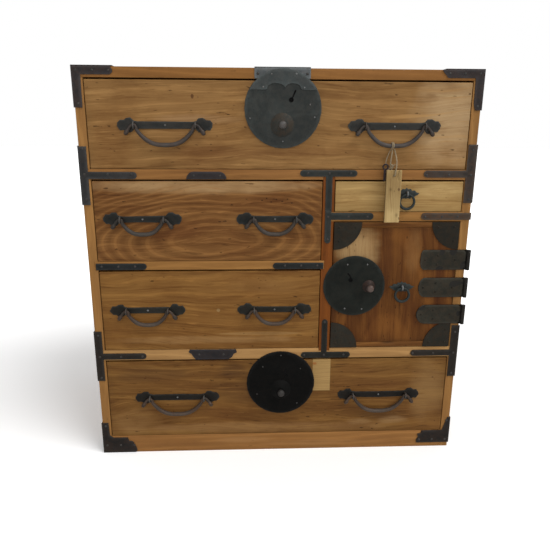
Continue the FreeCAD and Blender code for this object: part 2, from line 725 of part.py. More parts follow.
def bail_shape(eye_half, drop):
    """A forged bail in the XZ plane round its pivot line: bow, two peaks in the eyes, two outer legs."""
    bend, radius = float(c.peak_bend), float(c.rod_radius)
    half, low = float(eye_half), float(drop)
    tip_out, tip_drop = float(c.tip_out), float(c.tip_drop)
    bow_half = half * BOW_SHARE
    peak = 0
    for _ in range(PEAK_ROUNDS):
        inner_slope = math.atan2(low + peak, half - bow_half)
        outer_slope = math.atan2(tip_drop + peak, tip_out)
        half_turn = (inner_slope + outer_slope) / 2
        peak = bend * (1 / math.cos(half_turn) - 1)
    points = [Vector(-half - tip_out, 0, -tip_drop), Vector(-half, 0, peak), Vector(-bow_half, 0, -low),
              Vector(bow_half, 0, -low), Vector(half, 0, peak), Vector(half + tip_out, 0, -tip_drop)]
    bow_bend = bow_half / math.tan(inner_slope / 2) * BEND_SHARE
    edges = rounded_path(points, [bend, bow_bend, bow_bend, bend])
    bar_solid = swept(edges, radius)
    bulbs = [Part.makeSphere(float(c.tip_radius), point) for point in (points[0], points[-1])]
    return bar_solid.multiFuse(bulbs).removeSplitter()


INNER_LOBE_SHIFT, INNER_LOBE_SHARE = 0.75, 0.7
NAIL_INSET_SHARE, NAIL_RISE = 0.8, 4


def handle_plate(label, x, z, length, eye_half):
    """Back plate with a narrow middle, two lobed ends, eyes for the bail and a nail in the middle."""
    half = length / 2
    lobe = c.plate_lobe
    lobe_x = half - lobe
    band_z = (z - c.plate_band / 2, z + c.plate_band / 2)
    pieces = [bar(label + "_band", (x - lobe_x, x + lobe_x), band_z, face)]
    for side, word in ((-1, "left"), (1, "right")):
        pieces.append(disc(f"{label}_{word}_lobe", x + side * lobe_x, z - 1, lobe, face))
        pieces.append(disc(f"{label}_{word}_inner", x + side * (lobe_x - lobe * INNER_LOBE_SHIFT), z,
                           lobe * INNER_LOBE_SHARE, face))
    holes = [rod(f"{label}_{word}_hole", c.eye_wire + c.shank_gap, c.iron_thick * 3,
                 (x + side * eye_half, face - 2 * c.iron_thick, z), "+Y")
             for side, word in ((-1, "left"), (1, "right"))]
    eyes = []
    for side, word in ((-1, "left"), (1, "right")):
        eye_x = x + side * eye_half
        loop = ring(f"{label}_{word}_loop", eye_radius, c.eye_wire, (eye_x, eye_y, z))
        shank = rod(f"{label}_{word}_shank", c.eye_wire, c.shank_long, (eye_x, eye_y + eye_radius, z), "+Y")
        eyes.append(fuse(f"{label}_{word}_eye", [loop, shank]))
    plate = cut(label + "_plate", fuse(label + "_solid", pieces), holes)
    return [plate, *eyes]


def bail(label, x, z, eye_half, drop):
    thing = shaped(label, bail_shape(eye_half, drop))
    place(thing, x, eye_y, z)
    return node(thing)


# ---- drawers -----------------------------------------------------------------------------------
def drawer(prefix, x, z, front_cuts=()):
    """A drawer in a bay: front board and, behind it, two sides, a back and a floor."""
    left, right = x[0] + c.edge_gap, x[1] - c.edge_gap
    low, high = z[0] + c.run_gap, z[1] - c.head_gap
    board_back = face + c.front_thick
    end = back_face - c.drawer_back_gap
    top = high - c.wall_drop
    board = box(prefix + "_front_board", (left, right), (face, board_back), (low, high))
    if front_cuts:
        front_node = cut(prefix + "_front", board, list(front_cuts))
    else:
        front_node = board
        board.Label = prefix + "_front"
    node(front_node)
    walls = [
        box(prefix + "_left_wall", (left, left + c.wall_thick), (board_back, end), (low, top)),
        box(prefix + "_right_wall", (right - c.wall_thick, right), (board_back, end), (low, top)),
        box(prefix + "_back_wall", (left + c.wall_thick, right - c.wall_thick), (end - c.wall_thick, end),
            (low + c.floor_thick, top)),
        box(prefix + "_floor", (left + c.wall_thick, right - c.wall_thick), (board_back, end),
            (low, low + c.floor_thick)),
    ]
    node(group(prefix + "_box", walls))


def bail_pair(prefix, centre, offset, z, length, eye_half, drop):
    """Two bail handles on one drawer front."""
    pieces = []
    spots = []
    for side, word in ((-1, "left"), (1, "right")):
        x = centre + side * offset
        pieces += handle_plate(f"{prefix}_{word}_handle", x, z, length, eye_half)
        spots.append((x, face - c.iron_thick, z))
        nail_x = length / 2 - c.plate_lobe * NAIL_INSET_SHARE
        spots += [(x + end * nail_x, face - c.iron_thick, z + NAIL_RISE) for end in (-1, 1)]
        bail(f"{prefix}_{word}_bail", x, z, eye_half, drop)
    pieces.append(nails(prefix + "_handle_nails", spots))
    node(group(prefix + "_handle_plates", pieces))


def board_stem_hole(prefix, knob):
    return rod(prefix + "_board_hole", c.stem_radius + c.stem_gap, c.front_thick + 2,
               (knob[0], face - 1, knob[1]), "+Y")


def works_room(ceiling):
    """The x and z ranges of a drawer lock's works, hung from the top edge of the front."""
    return (lock_x - c.lock_wide / 2, lock_x + c.lock_wide / 2), (ceiling - c.lock_high, ceiling)


top_bay = (top_floor, top_under)
bottom_bay = (bottom_floor, bottom_ceiling)
full_width = (-inner, inner)
left_bay = (-inner, left_end)
small_bay = (small_floor, upper_ceiling)
right_bay = (right_start, inner)
left_centre = (left_end - inner) / 2

drawer("top_drawer", full_width, top_bay,
       [board_stem_hole("top_drawer", top_knob), keyhole("top_board_key", top_lock)])
bail_pair("top_drawer", 0, c.large_handle_offset, top_floor + c.top_eye_height,
          c.large_plate, c.large_eye, c.large_drop)
top_high = top_under - c.head_gap
cap_edge = top_lock[1] + c.cap_edge_rise
lobes = [disc(f"cap_lobe_{side}", lock_x + 1 + side * c.cap_lobe_shift, cap_edge - c.cap_lobe_drop,
              c.cap_lobe, face, 1) for side in (-1, 1)]
cap_blank = common("cap_blank", [
    disc("cap_disc", top_lock[0], top_lock[1], c.lock_radius - 1, face, 1),
    box("cap_room", (-2 * c.lock_radius, 2 * c.lock_radius), (face - 2 * c.iron_thick, face - c.iron_thick),
        (cap_edge, cap_edge + c.lock_radius)),
])
plate_room = box("top_plate_room", (-2 * c.lock_radius, 2 * c.lock_radius), (face - c.iron_thick, face),
                 (top_floor, top_high))
lock("top_lock", top_lock, top_knob, c.lock_radius, works_room(top_high), "+Z", plate_room,
     [cut("top_lock_cap", cap_blank, lobes)])

drawer("upper_left_drawer", left_bay, (upper_floor, upper_ceiling))
small_offset = c.left_bay_width / 2 - c.small_handle_inset
bail_pair("upper_left_drawer", left_centre, small_offset, upper_floor + c.upper_eye_height,
          c.small_plate, c.small_eye, c.small_drop)
drawer("lower_left_drawer", left_bay, (lower_floor, lower_ceiling))
bail_pair("lower_left_drawer", left_centre, small_offset, lower_floor + c.lower_eye_height,
          c.small_plate, c.small_eye, c.small_drop)

drawer("bottom_drawer", full_width, bottom_bay,
       [board_stem_hole("bottom_drawer", bottom_knob), keyhole("bottom_board_key", bottom_lock)])
bail_pair("bottom_drawer", 0, c.large_handle_offset, bottom_floor + c.bottom_eye_height,
          c.large_plate, c.large_eye, c.large_drop)
lock("bottom_lock", bottom_lock, bottom_knob, c.lock_radius, works_room(bottom_ceiling - c.head_gap), "+Z")


# ---- ring pulls --------------------------------------------------------------------------------
def leaf_shape(half):
    """A bat-winged plate: two pointed wings and a small crest, with scalloped lower edges."""
    half, high = float(half), float(c.leaf_high)
    thick = float(c.iron_thick)
    right = [((half, 0), (half * 0.72, high * 0.30), (half * 0.50, high * 0.20)),
             ((half * 0.50, high * 0.20), (half * 0.28, high * 0.52), (0, high * 0.55))]
    below = [((half, 0), (half * 0.68, -high * 0.10), (half * 0.45, -high * 0.38)),
             ((half * 0.45, -high * 0.38), (half * 0.22, -high * 0.36), (0, -high * 0.45))]
    edges = []
    for sign in (1, -1):
        for begin, middle_point, end in right + below:
            ends = [Vector(sign * px, 0, pz) for px, pz in (begin, middle_point, end)]
            edges.append(Part.Arc(*ends).toShape())
    outline = Part.Wire(Part.__sortEdges__(edges))
    return Part.Face(outline).extrude(Vector(0, -thick, 0))


def ring_pull(prefix, x, z, leaf_half):
    leaf = shaped(prefix + "_leaf", leaf_shape(leaf_half))
    place(leaf, x, face, z)
    hole_radius = c.ring_rod + c.rod_gap
    loop_radius = hole_radius + c.eye_wire
    loop_y = face - c.iron_thick - loop_radius - c.eye_wire
    hole = rod(prefix + "_leaf_hole", c.eye_wire + c.shank_gap, c.iron_thick * 3,
               (x, face - 2 * c.iron_thick, z), "+Y")
    loop = ring(prefix + "_loop", loop_radius, c.eye_wire, (x, loop_y, z))
    shank = rod(prefix + "_shank", c.eye_wire, c.shank_long, (x, loop_y + loop_radius, z), "+Y")
    plate = cut(prefix + "_leaf_cut", leaf, [hole])
    node(group(prefix + "_plate", [plate, fuse(prefix + "_eye", [loop, shank])]))
    pull = ring(prefix + "_ring", c.ring_radius, c.ring_rod, (x, loop_y, z - c.ring_radius), "-Y")
    node(pull)


drawer("small_drawer", right_bay, small_bay)
ring_pull("small_pull", (right_start + inner) / 2 + c.small_ring_shift, small_floor + c.small_ring_height,
          c.leaf_half)

# ---- door --------------------------------------------------------------------------------------
door_left, door_right = right_start + c.edge_gap, inner - c.edge_gap
door_low, door_high = lower_floor + c.run_gap * 2, door_ceiling - c.edge_gap
door_y = (face, face + c.door_thick)
door_x = (door_left, door_right)
works = ((door_left, door_left + c.lock_high),
         (door_lock[1] - c.lock_wide / 2, door_lock[1] + c.lock_wide / 2))
panel = box("door_board", door_x, door_y, (door_low + c.batten_wide, door_high - c.batten_wide))
panel_cut = cut("door_board_cut", panel, [
    board_stem_hole("door", door_knob), keyhole("door_board_key", door_lock)])
node(group("door_panel", [
    panel_cut,
    box("door_foot_batten", door_x, door_y, (door_low, door_low + c.batten_wide)),
    box("door_head_batten", door_x, door_y, (door_high - c.batten_wide, door_high)),
]))
lock("door_lock", door_lock, door_knob, c.door_lock_radius, works, "-X")
quarter_blanks = []
# The right corner plates stop short of the hinge leaves.
rooms = {"low_right": (door_low, c.hinge_low - c.hinge_clear),
         "high_right": (hinge_floors[-1] + c.hinge_long + c.hinge_clear, door_high)}
for word, x, z in (("low_left", door_left, door_low), ("high_left", door_left, door_high),
                   ("low_right", door_right, door_low), ("high_right", door_right, door_high)):
    blank = disc("door_corner_" + word + "_disc", x, z, c.door_corner, face)
    room_z = rooms.get(word, (door_low, door_high))
    room = box("door_corner_" + word + "_room", door_x, (face - c.iron_thick, face), room_z)
    quarter_blanks.append(common("door_corner_" + word, [blank, room]))
LEAF_NAILS = ((8, 16.5), (28, 24), (28, 9), (56, 16.5))
QUARTER_NAILS = ((8, 8), (34, 8), (8, 30))
door_spots = []
for floor in hinge_floors:
    for along, up in LEAF_NAILS:
        door_spots.append((half_width - c.hinge_reach + along, face - c.iron_thick, floor + up))
for side, edge in ((1, door_left), (-1, door_right)):
    for direction, level in ((1, door_low), (-1, door_high)):
        for along, up in QUARTER_NAILS:
            door_spots.append((edge + side * along, face - c.iron_thick, level + direction * up))
node(group("door_corner_irons", [*quarter_blanks, nails("door_nails", door_spots)]))
pull_left = door_lock[0] + c.door_lock_radius + c.pull_lock_gap
pull_right = half_width - c.hinge_reach - c.pull_hinge_gap
ring_pull("door_pull", (pull_left + pull_right) / 2, lower_floor + c.door_ring_height,
          (pull_right - pull_left) / 2)

# ---- tag on its twine --------------------------------------------------------------------------
tag_x = c.large_handle_offset + c.tag_shift
loop_x = c.large_handle_offset + c.loop_shift
bow_z = top_floor + c.top_eye_height - c.large_drop
twine = float(c.twine_radius)
loop_reach = c.rod_radius + c.twine_radius + c.loop_gap
turn_shift = c.twine_radius + c.loop_gap / 4
node(ring("tag_loop_turn", loop_reach, c.twine_radius, (loop_x + turn_shift, eye_y, bow_z)))

tag_y = eye_y - c.tag_out
tag_top = bow_z - c.tag_drop
tag_low = tag_top - c.tag_long
tag_block = box("tag_block", (tag_x - c.tag_wide / 2, tag_x + c.tag_wide / 2),
                (tag_y - c.tag_thick / 2, tag_y + c.tag_thick / 2), (tag_low, tag_top))
hole_z = tag_top - c.tag_hole_down
tag_hole = rod("tag_hole", c.twine_radius + c.tag_hole_gap, 2 * c.tag_thick,
               (tag_x, tag_y - c.tag_thick, hole_z), "+Y")
node(cut("tag", tag_block, [tag_hole]))

# Twine: from the loop round the bow, through the tag's hole, back to the loop.
TWINE_POINTS = [
    (171.2, -182.5, 514.0), (174.0, -189.0, 501.0), (173.0, -195.6, 490.0), (171.2, -197.2, 482.6),
    (170.7, -196.8, 475.5), (170.4, -185.0, 475.2), (168.0, -182.2, 481.2), (165.0, -187.6, 492.6),
    (166.4, -186.4, 504.0), (168.4, -182.5, 514.0),
]
ARC_SHARE = 0.45


def twine_radii(points):
    """The largest arc that each corner's two runs allow."""
    radii = []
    for before, corner, after in zip(points, points[1:], points[2:]):
        shorter = min((before - corner).Length, (after - corner).Length)
        turn = (corner - before).getAngle(after - corner)
        radii.append(ARC_SHARE * shorter / math.tan(turn / 2))
    return radii


twine_points = [Vector(*point) for point in TWINE_POINTS]
twine_edges = rounded_path(twine_points, twine_radii(twine_points))
twine_length = sum(edge.Length for edge in twine_edges)
twine_shape = swept(twine_edges, twine)
twine_volume = math.pi * twine ** 2 * twine_length
print(f"twine length {twine_length:.1f}, volume ratio {twine_shape.Volume / twine_volume:.4f}")
node(shaped("tag_cord", twine_shape))

def knotted(points, radius, knot):
    """A thin cord in straight runs with a small knot at each bend."""
    runs = [Part.makeCylinder(radius, (end - start).Length, start, end - start)
            for start, end in zip(points, points[1:])]
    knots = [Part.makeSphere(knot, point) for point in points[1:-1]]
    return runs[0].multiFuse([*runs[1:], *knots])


# Key: it hangs beside the tag on a loop and a short string of its own.
key_x = c.large_handle_offset + c.key_shift
key_y, key_z = eye_y - c.key_back, bow_z - c.key_drop
bow_low, wire_top = key_z - c.key_bow, key_z + c.key_bow
blade_low = bow_low - c.key_long
half_wide, half_thick = c.key_wide / 2, c.key_thick / 2
depth = (key_y - half_thick, key_y + half_thick)
node(fuse("key", [
    ring("key_bow_ring", c.key_bow, c.key_wire, (key_x, key_y, key_z), "-Y"),
    box("key_blade", (key_x - half_wide, key_x + half_wide), depth, (blade_low, bow_low)),
    box("key_bit", (key_x, key_x + c.key_wide), depth, (blade_low, blade_low + c.key_wide)),
]))
hang_x, hang_top = loop_x - turn_shift, bow_z - loop_reach
KNOT_HIGH, KNOT_LOW = (-3.2, 1.6, -6.5), (1.2, 0, 7)
string_points = [Vector(float(x), float(y), float(z)) for x, y, z in (
    (hang_x, eye_y, hang_top),
    (hang_x + KNOT_HIGH[0], eye_y + KNOT_HIGH[1], hang_top + KNOT_HIGH[2]),
    (key_x + KNOT_LOW[0], eye_y + KNOT_LOW[1], wire_top + KNOT_LOW[2]),
    (key_x, key_y, wire_top))]
string = shaped("key_string", knotted(string_points, float(twine * c.string_share), twine))
node(fuse("tag_loop", [ring("key_loop", loop_reach, c.twine_radius, (hang_x, eye_y, bow_z)), string]))

# ---- check and write ---------------------------------------------------------------------------
document.recompute()
for thing in document.Objects:
    if "Invalid" in thing.State or "Error" in thing.State:
        raise RuntimeError(f"{thing.Label} did not build: {thing.State}")
os.makedirs("parts", exist_ok=True)
for label, thing in nodes.items():
    shape = thing.Shape
    if shape.isNull() or not shape.isValid() or not shape.Solids:
        raise RuntimeError(f"{label} has no valid solid")
    if thing.Label != label:
        raise RuntimeError(f"{label} is labelled {thing.Label}")
    shape.exportStep(f"parts/{label}.step")
print(f"{len(nodes)} nodes, {sum(len(thing.Shape.Solids) for thing in nodes.values())} solids")
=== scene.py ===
"""Visual model of a small tansu chest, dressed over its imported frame.

Every piece is built in millimetres in the frame's own axes (X across the front,
-Y towards the viewer, Z up from the floor), turned into metres once, and rides on
the body that carries it. Surfaces come from numpy: rounded slabs for boards, sheets
cut to an outline for ironwork, profiles turned on a lathe for domes and nails, and
rods swept along a line for bails, rings and cord. Every finish is a node recipe.
"""

import logging
import math
from dataclasses import dataclass, field
from enum import Enum
from functools import cached_property

import bmesh
import bpy
import numpy as np
from mathutils import Matrix, Vector
from mathutils.geometry import delaunay_2d_cdt

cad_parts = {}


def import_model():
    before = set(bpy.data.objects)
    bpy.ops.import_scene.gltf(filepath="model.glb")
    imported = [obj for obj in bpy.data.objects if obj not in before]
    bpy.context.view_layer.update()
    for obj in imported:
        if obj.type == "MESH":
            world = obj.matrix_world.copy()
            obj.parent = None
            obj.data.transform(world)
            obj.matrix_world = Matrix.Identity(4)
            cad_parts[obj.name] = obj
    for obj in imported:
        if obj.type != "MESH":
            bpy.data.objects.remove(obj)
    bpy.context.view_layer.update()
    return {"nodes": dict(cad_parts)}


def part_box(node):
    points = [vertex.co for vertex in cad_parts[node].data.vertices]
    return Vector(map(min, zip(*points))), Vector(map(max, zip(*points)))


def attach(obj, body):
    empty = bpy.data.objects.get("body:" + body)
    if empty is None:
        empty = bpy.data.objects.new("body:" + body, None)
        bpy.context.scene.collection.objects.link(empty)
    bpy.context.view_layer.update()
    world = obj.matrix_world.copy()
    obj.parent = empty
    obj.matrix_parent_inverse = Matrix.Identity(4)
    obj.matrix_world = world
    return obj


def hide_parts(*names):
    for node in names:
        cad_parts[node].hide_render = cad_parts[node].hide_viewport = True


LOG = logging.getLogger("tansu")
MM = 0.001

FACE = -175.3          # plane of the drawer and door faces
FRONT = -175.0         # plane of the case front
SIDE = 300.0           # plane of each case side
IRON = 1.5             # thickness of sheet iron
EYE_Y = -182.5         # line on which every bail swings
OUTER = SIDE + IRON    # outer face of an iron on a case side
TOP = 628.0            # plane of the case top
IRON_SHIFT = 0.37      # step in the noise field from one iron to the next
DRAWERS = ("top_drawer", "upper_left_drawer", "lower_left_drawer", "bottom_drawer", "small_drawer")

Colour = tuple[float, float, float]
Point = tuple[float, float, float]
Pair = tuple[float, float]
Material = bpy.types.Material
Line = list[Pair]
Faces = list[tuple[int, ...]]
Patch = tuple[float, float, float, float, Colour, float]
Socket = bpy.types.NodeSocket
Value = Socket | float | tuple

STAIN: Colour = (0.13, 0.045, 0.012)


class Grain(Enum):
    """Which axis the fibres follow, then the axes across and into the board."""

    ACROSS = ("X", "Z", "Y")
    UPRIGHT = ("Z", "X", "Y")
    SIDE_UPRIGHT = ("Z", "Y", "X")
    FRONT_TO_BACK = ("Y", "X", "Z")
    FLAT_ACROSS = ("X", "Y", "Z")


@dataclass(frozen=True)
class WoodTone:
    """Colours and figure of one wood.

    Args:
        light, mid, dark: linear colours of the early wood, the body and the late wood.
        grain: direction of the fibres.
        heart: where the tree's centre lies, across and behind the face, in metres.
        tilt: slope of the centre line along the fibres; it draws out the arches.
        spacing: width of a year's ring in metres.
        figure: how strongly the rings show, 0 to 1.
        flow: how strongly broad bands of tone show, 0 to 1.
        streak: strength of the thin pale streaks, 0 to 1.
        fleck: strength of the short dark dashes, 0 to 1.
        rough: roughness of the surface.
        shift: offset in the noise field, so that no two boards match.
        red: colour and strength of a red-brown stain in large patches.
        waver: how far slow noise bends the rings, in metres.
        gloss: specular level.
        arch: where along X the centre line comes nearest, and how fast it bends away.
        patches: soft stains and pale places, each with its middle across and up, its half
            width and height, all in millimetres, its colour and its share.
        inlays: let-in pieces with straight edges, given the same way.
    """

    light: Colour
    mid: Colour
    dark: Colour
    grain: Grain = Grain.ACROSS
    heart: Pair = (-0.25, 0.12)
    tilt: float = 0.06
    spacing: float = 0.011
    figure: float = 0.35
    flow: float = 0.6
    streak: float = 0.35
    fleck: float = 0.5
    rough: float = 0.52
    shift: float = 0.0
    red: tuple[Colour, float] = (STAIN, 0.35)
    waver: float = 0.012
    gloss: float = 0.1
    arch: Pair = (0.0, 0.0)
    patches: tuple[Patch, ...] = ()
    inlays: tuple[Patch, ...] = ()


@dataclass(frozen=True)
class IronTone:
    """Colour and surface of one piece's forged iron.

    Args:
        colour: linear colour; the blackened skin is darker, and a rubbed place brighter.
        brown: how strong the brown bloom is, 0 to 1.
        rough: roughness of the surface.
        gloss: specular level.
        shift: offset in the noise field, so that no two pieces match.
    """

    colour: Colour
    brown: float
    rough: float
    gloss: float
    shift: float = 0.0


# Small round holes along the top edge of the upper left drawer, across and up.
WORM_HOLES = ((-28.0, 436.0), (-21.0, 439.0), (-14.0, 433.5), (-6.0, 437.5), (3.0, 434.5), (11.0, 438.0),
              (18.0, 432.0))

WOODS = {
    "top_front": WoodTone(
        (0.318, 0.174, 0.0611), (0.211, 0.104, 0.0305), (0.129, 0.0555, 0.0142), heart=(0.36, 0.1),
        tilt=0.1, spacing=0.019, figure=0.12, flow=0.75, streak=0.22, fleck=0.35, shift=0.37,
        red=(STAIN, 0.22), waver=0.02,
        patches=(
            (-130, 588, 2.2, 3.2, (0.06, 0.02, 0.00704), 0.7), (250, 592, 22, 2.2, (0.5, 0.36, 0.176), 0.5),
            (96, 548, 8, 3.4, (0.12, 0.06, 0.022), 0.5), (262, 556, 60, 80, (0.46, 0.31, 0.16), 0.8),
            (-30, 508, 150, 8, (0.15, 0.062, 0.018), 0.5), (-120, 556, 60, 7, (0.38, 0.23, 0.11), 0.5),
            (-255, 520, 34, 60, (0.17, 0.075, 0.0194), 0.4),
        )),
    "upper_left_front": WoodTone(
        (0.224, 0.105, 0.0313), (0.121, 0.045, 0.0098), (0.0698, 0.0225, 0.00439), heart=(0.378, 0.222),
        tilt=0.0, spacing=0.0052, figure=0.3, flow=0.8, streak=0.6, shift=0.93, waver=0.022,
        arch=(-0.1, 0.8),
        patches=(
            (-120, 459, 185, 13, (0.4, 0.25, 0.115), 0.85), (-40, 402, 60, 14, (0.3, 0.16, 0.0528), 0.4),
            (-170, 392, 60, 16, (0.13, 0.045, 0.0123), 0.4),
            *((x, z, 1.3, 1.0, (0.03, 0.012, 0.0044), 0.9) for x, z in WORM_HOLES),
        )),
    "lower_left_front": WoodTone(
        (0.248, 0.122, 0.0317), (0.164, 0.0694, 0.015), (0.096, 0.0354, 0.00704), heart=(-0.05, 0.1),
        tilt=0.08, spacing=0.022, figure=0.14, flow=0.7, streak=0.45, fleck=0.3, shift=1.71,
        red=(STAIN, 0.3), waver=0.018,
        patches=(
            (-99, 258, 3.0, 3.0, (0.36, 0.25, 0.114), 0.5),
            (-120, 207, 160, 7, (0.33, 0.185, 0.0704), 0.55), (-30, 217, 70, 3, (0.36, 0.21, 0.0792), 0.5),
            (-20, 300, 60, 14, (0.27, 0.14, 0.044), 0.4),
        )),
    "bottom_front": WoodTone(
        (0.207, 0.103, 0.0266), (0.132, 0.0562, 0.0128), (0.0748, 0.0274, 0.00616), heart=(-0.1, 0.1),
        tilt=0.1, spacing=0.02, figure=0.18, flow=0.7, fleck=0.6, shift=2.37, red=(STAIN, 0.3), waver=0.02,
        patches=(
            (255, 110, 34, 60, (0.29, 0.17, 0.066), 0.5), (-40, 44, 240, 10, (0.29, 0.155, 0.0572), 0.6),
            (-240, 60, 40, 26, (0.27, 0.15, 0.0528), 0.4), (-60, 120, 60, 30, (0.075, 0.03, 0.0088), 0.5),
            (190, 62, 60, 8, (0.08, 0.035, 0.0106), 0.5), (200, 54, 26, 8, (0.36, 0.22, 0.1), 0.45),
            (140, 52, 22, 6, (0.36, 0.22, 0.1), 0.4), (-76, 150, 24, 16, (0.05, 0.022, 0.009), 0.5),
            (-210, 146, 60, 14, (0.07, 0.03, 0.011), 0.4),
        ),
        inlays=(
            (72, 141, 15, 29, (0.43, 0.27, 0.101), 0.85), (60, 162, 3.0, 2.0, (0.35, 0.12, 0.0264), 0.8),
        )),
    "small_front": WoodTone(
        (0.422, 0.274, 0.106), (0.35, 0.212, 0.0725), (0.23, 0.121, 0.0359), heart=(0.2, 0.1), tilt=0.05,
        spacing=0.017, figure=0.1, streak=0.15, fleck=0.18, shift=3.11, red=(STAIN, 0.05),
        patches=(
            (250, 452, 40, 12, (0.56, 0.39, 0.167), 0.6),
        )),
    "case": WoodTone(
        (0.247, 0.116, 0.0347), (0.173, 0.0698, 0.0163), (0.0866, 0.0291, 0.00673), heart=(-0.2, 0.1),
        flow=0.8, fleck=0.6, shift=0.2,
        patches=(
            (-170, 15, 70, 6, (0.1, 0.035, 0.01), 0.6), (60, 12, 90, 6, (0.3, 0.16, 0.07), 0.5),
            (190, 18, 50, 6, (0.11, 0.04, 0.012), 0.5), (-60, 20, 50, 6, (0.32, 0.18, 0.08), 0.5),
        )),
    "top": WoodTone(
        (0.228, 0.103, 0.028), (0.166, 0.0672, 0.0157), (0.0829, 0.0288, 0.00673), grain=Grain.FLAT_ACROSS,
        heart=(0.0, 0.05), shift=0.5, red=(STAIN, 0.25)),
    "sides": WoodTone(
        (0.263, 0.131, 0.0397), (0.183, 0.081, 0.02), (0.0879, 0.0324, 0.00748), grain=Grain.SIDE_UPRIGHT,
        heart=(0.05, 0.35), tilt=0.08, spacing=0.014, shift=0.8),
    "divider": WoodTone(
        (0.149, 0.0444, 0.00669), (0.105, 0.0255, 0.00317), (0.044, 0.0109, 0.00176), grain=Grain.UPRIGHT,
        streak=0.15, shift=1.2),
    "rails": WoodTone(
        (0.265, 0.13, 0.037), (0.188, 0.0816, 0.0199), (0.102, 0.0403, 0.00961), shift=1.5),
    "back": WoodTone(
        (0.302, 0.16, 0.0509), (0.21, 0.0988, 0.0257), (0.101, 0.0395, 0.0096), grain=Grain.UPRIGHT,
        heart=(0.7, 0.5), spacing=0.02, shift=5.1),
    "low_rail": WoodTone(
        (0.34, 0.19, 0.0704), (0.24, 0.12, 0.037), (0.12, 0.052, 0.0141), shift=4.4),
    "inner": WoodTone(
        (0.5, 0.36, 0.176), (0.4, 0.26, 0.11), (0.28, 0.16, 0.0572), grain=Grain.FRONT_TO_BACK, figure=0.3,
        rough=0.7, shift=1.9, red=(STAIN, 0.05)),
    "door": WoodTone(
        (0.142, 0.0537, 0.0108), (0.0736, 0.0209, 0.003), (0.0404, 0.0101, 0.0015), grain=Grain.UPRIGHT,
        heart=(0.175, 0.05), tilt=0.1, spacing=0.016, flow=0.9, fleck=0.35, shift=2.9, red=(STAIN, 0.5),
        patches=(
            (170, 345, 13, 75, (0.085, 0.028, 0.00616), 0.7), (124, 362, 34, 46, (0.42, 0.27, 0.12), 0.9),
            (214, 352, 14, 40, (0.26, 0.13, 0.044), 0.45),
        )),
    "battens": WoodTone(
        (0.188, 0.0806, 0.0198), (0.128, 0.0484, 0.00994), (0.0675, 0.0223, 0.00475), shift=3.3),
    "tag": WoodTone(
        (0.456, 0.332, 0.152), (0.338, 0.224, 0.0919), (0.192, 0.116, 0.044), grain=Grain.UPRIGHT,
        heart=(0.17, 0.3), spacing=0.006, figure=0.3, flow=0.7, fleck=0.45, rough=0.75, shift=6.0,
        red=(STAIN, 0.0),
        patches=(
            (178.5, 455, 1.8, 2.2, (0.12, 0.06, 0.03), 0.8), (181.5, 411, 1.3, 2.4, (0.1, 0.06, 0.03), 0.8),
        )),
}

